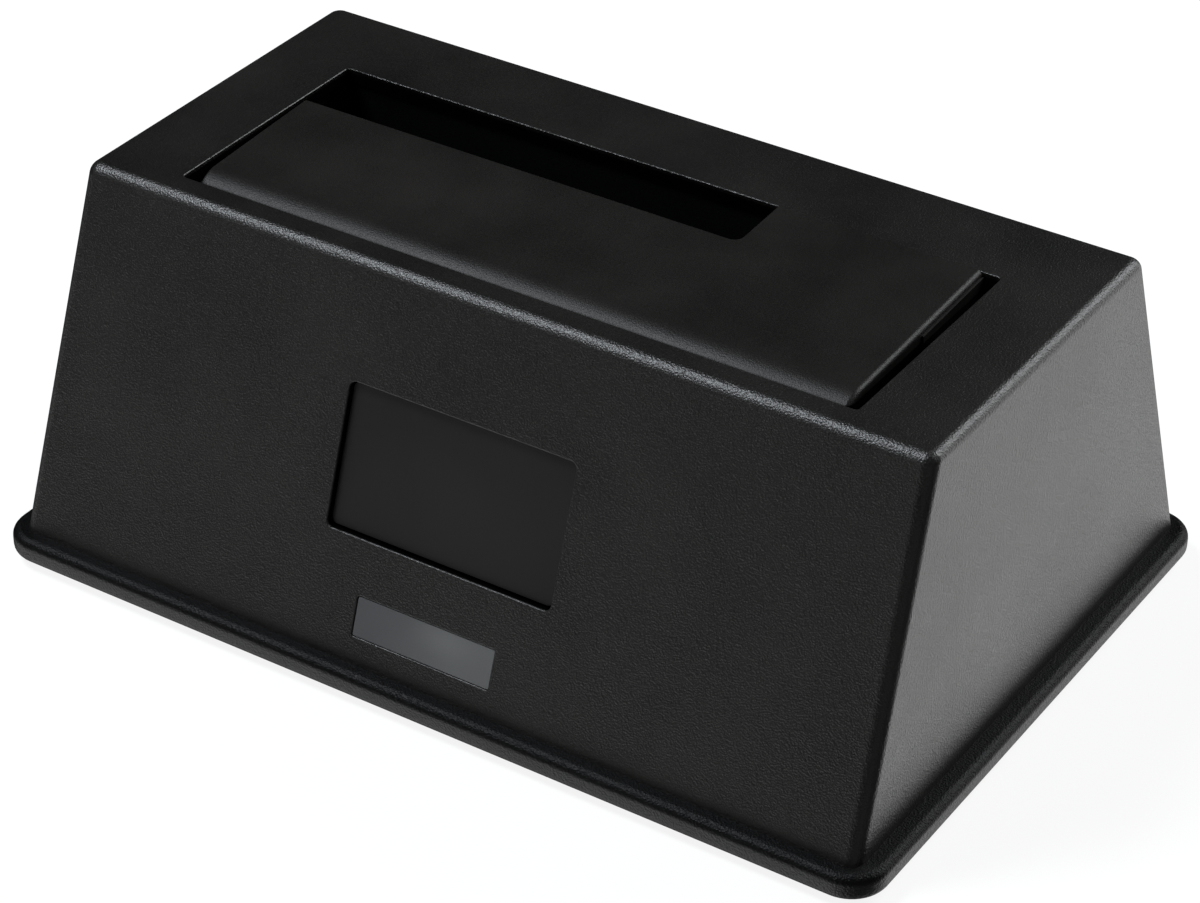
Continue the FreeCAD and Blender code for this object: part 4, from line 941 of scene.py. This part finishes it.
# Table, light and camera
# A white table under a dark room, with one soft light overhead and one behind to the right. The
# camera has a long lens, stands to the right of the dock's front and looks down on it.
bpy.ops.mesh.primitive_plane_add(size=4, location=(0, 0, -0.02 * mm))
table = bpy.context.object
table.name = "table"
table_paint = Paint("table_white")


def seen_directly(paint):
    """1 for rays from the camera, and for those that a gloss or a clear piece sends on."""
    rays = paint.ray("Camera") + paint.ray("Glossy") + paint.ray("Transmission")
    return paint.math("MINIMUM", rays, 1.0)


seen = seen_directly(table_paint)
table.data.materials.append(
    table_paint.finish(
        Base_Color=table_paint.mix(seen, (0.80, 0.80, 0.80), (0.16, 0.16, 0.16)),
        Roughness=0.9,
        Specular_IOR_Level=0.0,
        Emission_Color=table_paint.mix(seen, (0, 0, 0), (0.88, 0.88, 0.88)),
        Emission_Strength=1.0,
    )
)
table.visible_glossy = False

world = bpy.context.scene.world or bpy.data.worlds.new("room")
bpy.context.scene.world = world
room = Paint("room", world, "Background", "Generated")
east = room.along("X")
north = room.along("Y")
up = room.along("Z")
down = -up
west = -east
south = -north
to_the_right = (north * 0.72 - east * 0.695).over(-0.08, 0.10) * east.over(0.0, 0.28)
behind = to_the_right * (1 - up.over(0.1, 0.45) * 0.6)
above_table = up.over(0.08, 0.30) * (1 - up.over(0.45, 0.70))
before = west.over(0.1, 0.35) * south.over(0.35, 0.6) * above_table
table_before = west.over(-0.25, 0.20) * south.over(-0.1, 0.3) * down.over(0.15, 0.50)
corner = east.over(0.3, 0.7) * south.over(0.1, 0.4)
low = down.over(-0.35, 0.25)
gleam = 0.02 + behind * 2.02 + before * 0.75 + table_before * 1.50 + corner * 0.17 + low * 0.05
seen = seen_directly(room)
glossy = room.ray("Glossy")
level = glossy * gleam + (1 - glossy) * (seen + (1 - seen) * 0.05)
brightest = 4
room.plug(room.shader.inputs["Color"], room.mix(level * (1 / brightest), (0, 0, 0), [brightest] * 3))
world.cycles.sampling_method = "NONE"


def soft_light(name, place, aim, side, power, color):
    """A square soft box that faces a point."""
    bpy.ops.object.light_add(type="AREA", location=place)
    lamp = bpy.context.object
    lamp.name = name
    lamp.data.shape = "SQUARE"
    lamp.data.size = side
    lamp.data.energy = power
    lamp.data.color = color
    lamp.rotation_euler = (Vector(aim) - Vector(place)).to_track_quat("-Z", "Y").to_euler()


soft_light("overhead", (-0.40, -0.22, 0.82), (0, 0, 0.03), 0.32, 7.3, (0.94, 0.99, 1.05))
soft_light("back_right", (0.38, 0.70, 0.62), (0, 0, 0.05), 0.54, 6, (0.97, 1.0, 1.02))

camera_place = Vector((0.224239, -0.351568, 0.294301))
camera_target = Vector((0.002287, -0.004261, 0.020395))
camera_roll = math.radians(0.6227)
bpy.ops.object.camera_add(location=camera_place)
camera = bpy.context.object
camera.name = "camera"
camera.data.lens = 108.528
camera.data.sensor_width = 36.0
camera.data.sensor_fit = "HORIZONTAL"
camera.data.clip_start = 0.01
look = (camera_target - camera_place).to_track_quat("-Z", "Y").to_matrix().to_4x4()
camera.matrix_world = Matrix.Translation(camera_place) @ look @ Matrix.Rotation(camera_roll, 4, "Z")
bpy.context.scene.camera = camera
bpy.context.scene.view_settings.view_transform = "Standard"

bpy.context.view_layer.update()
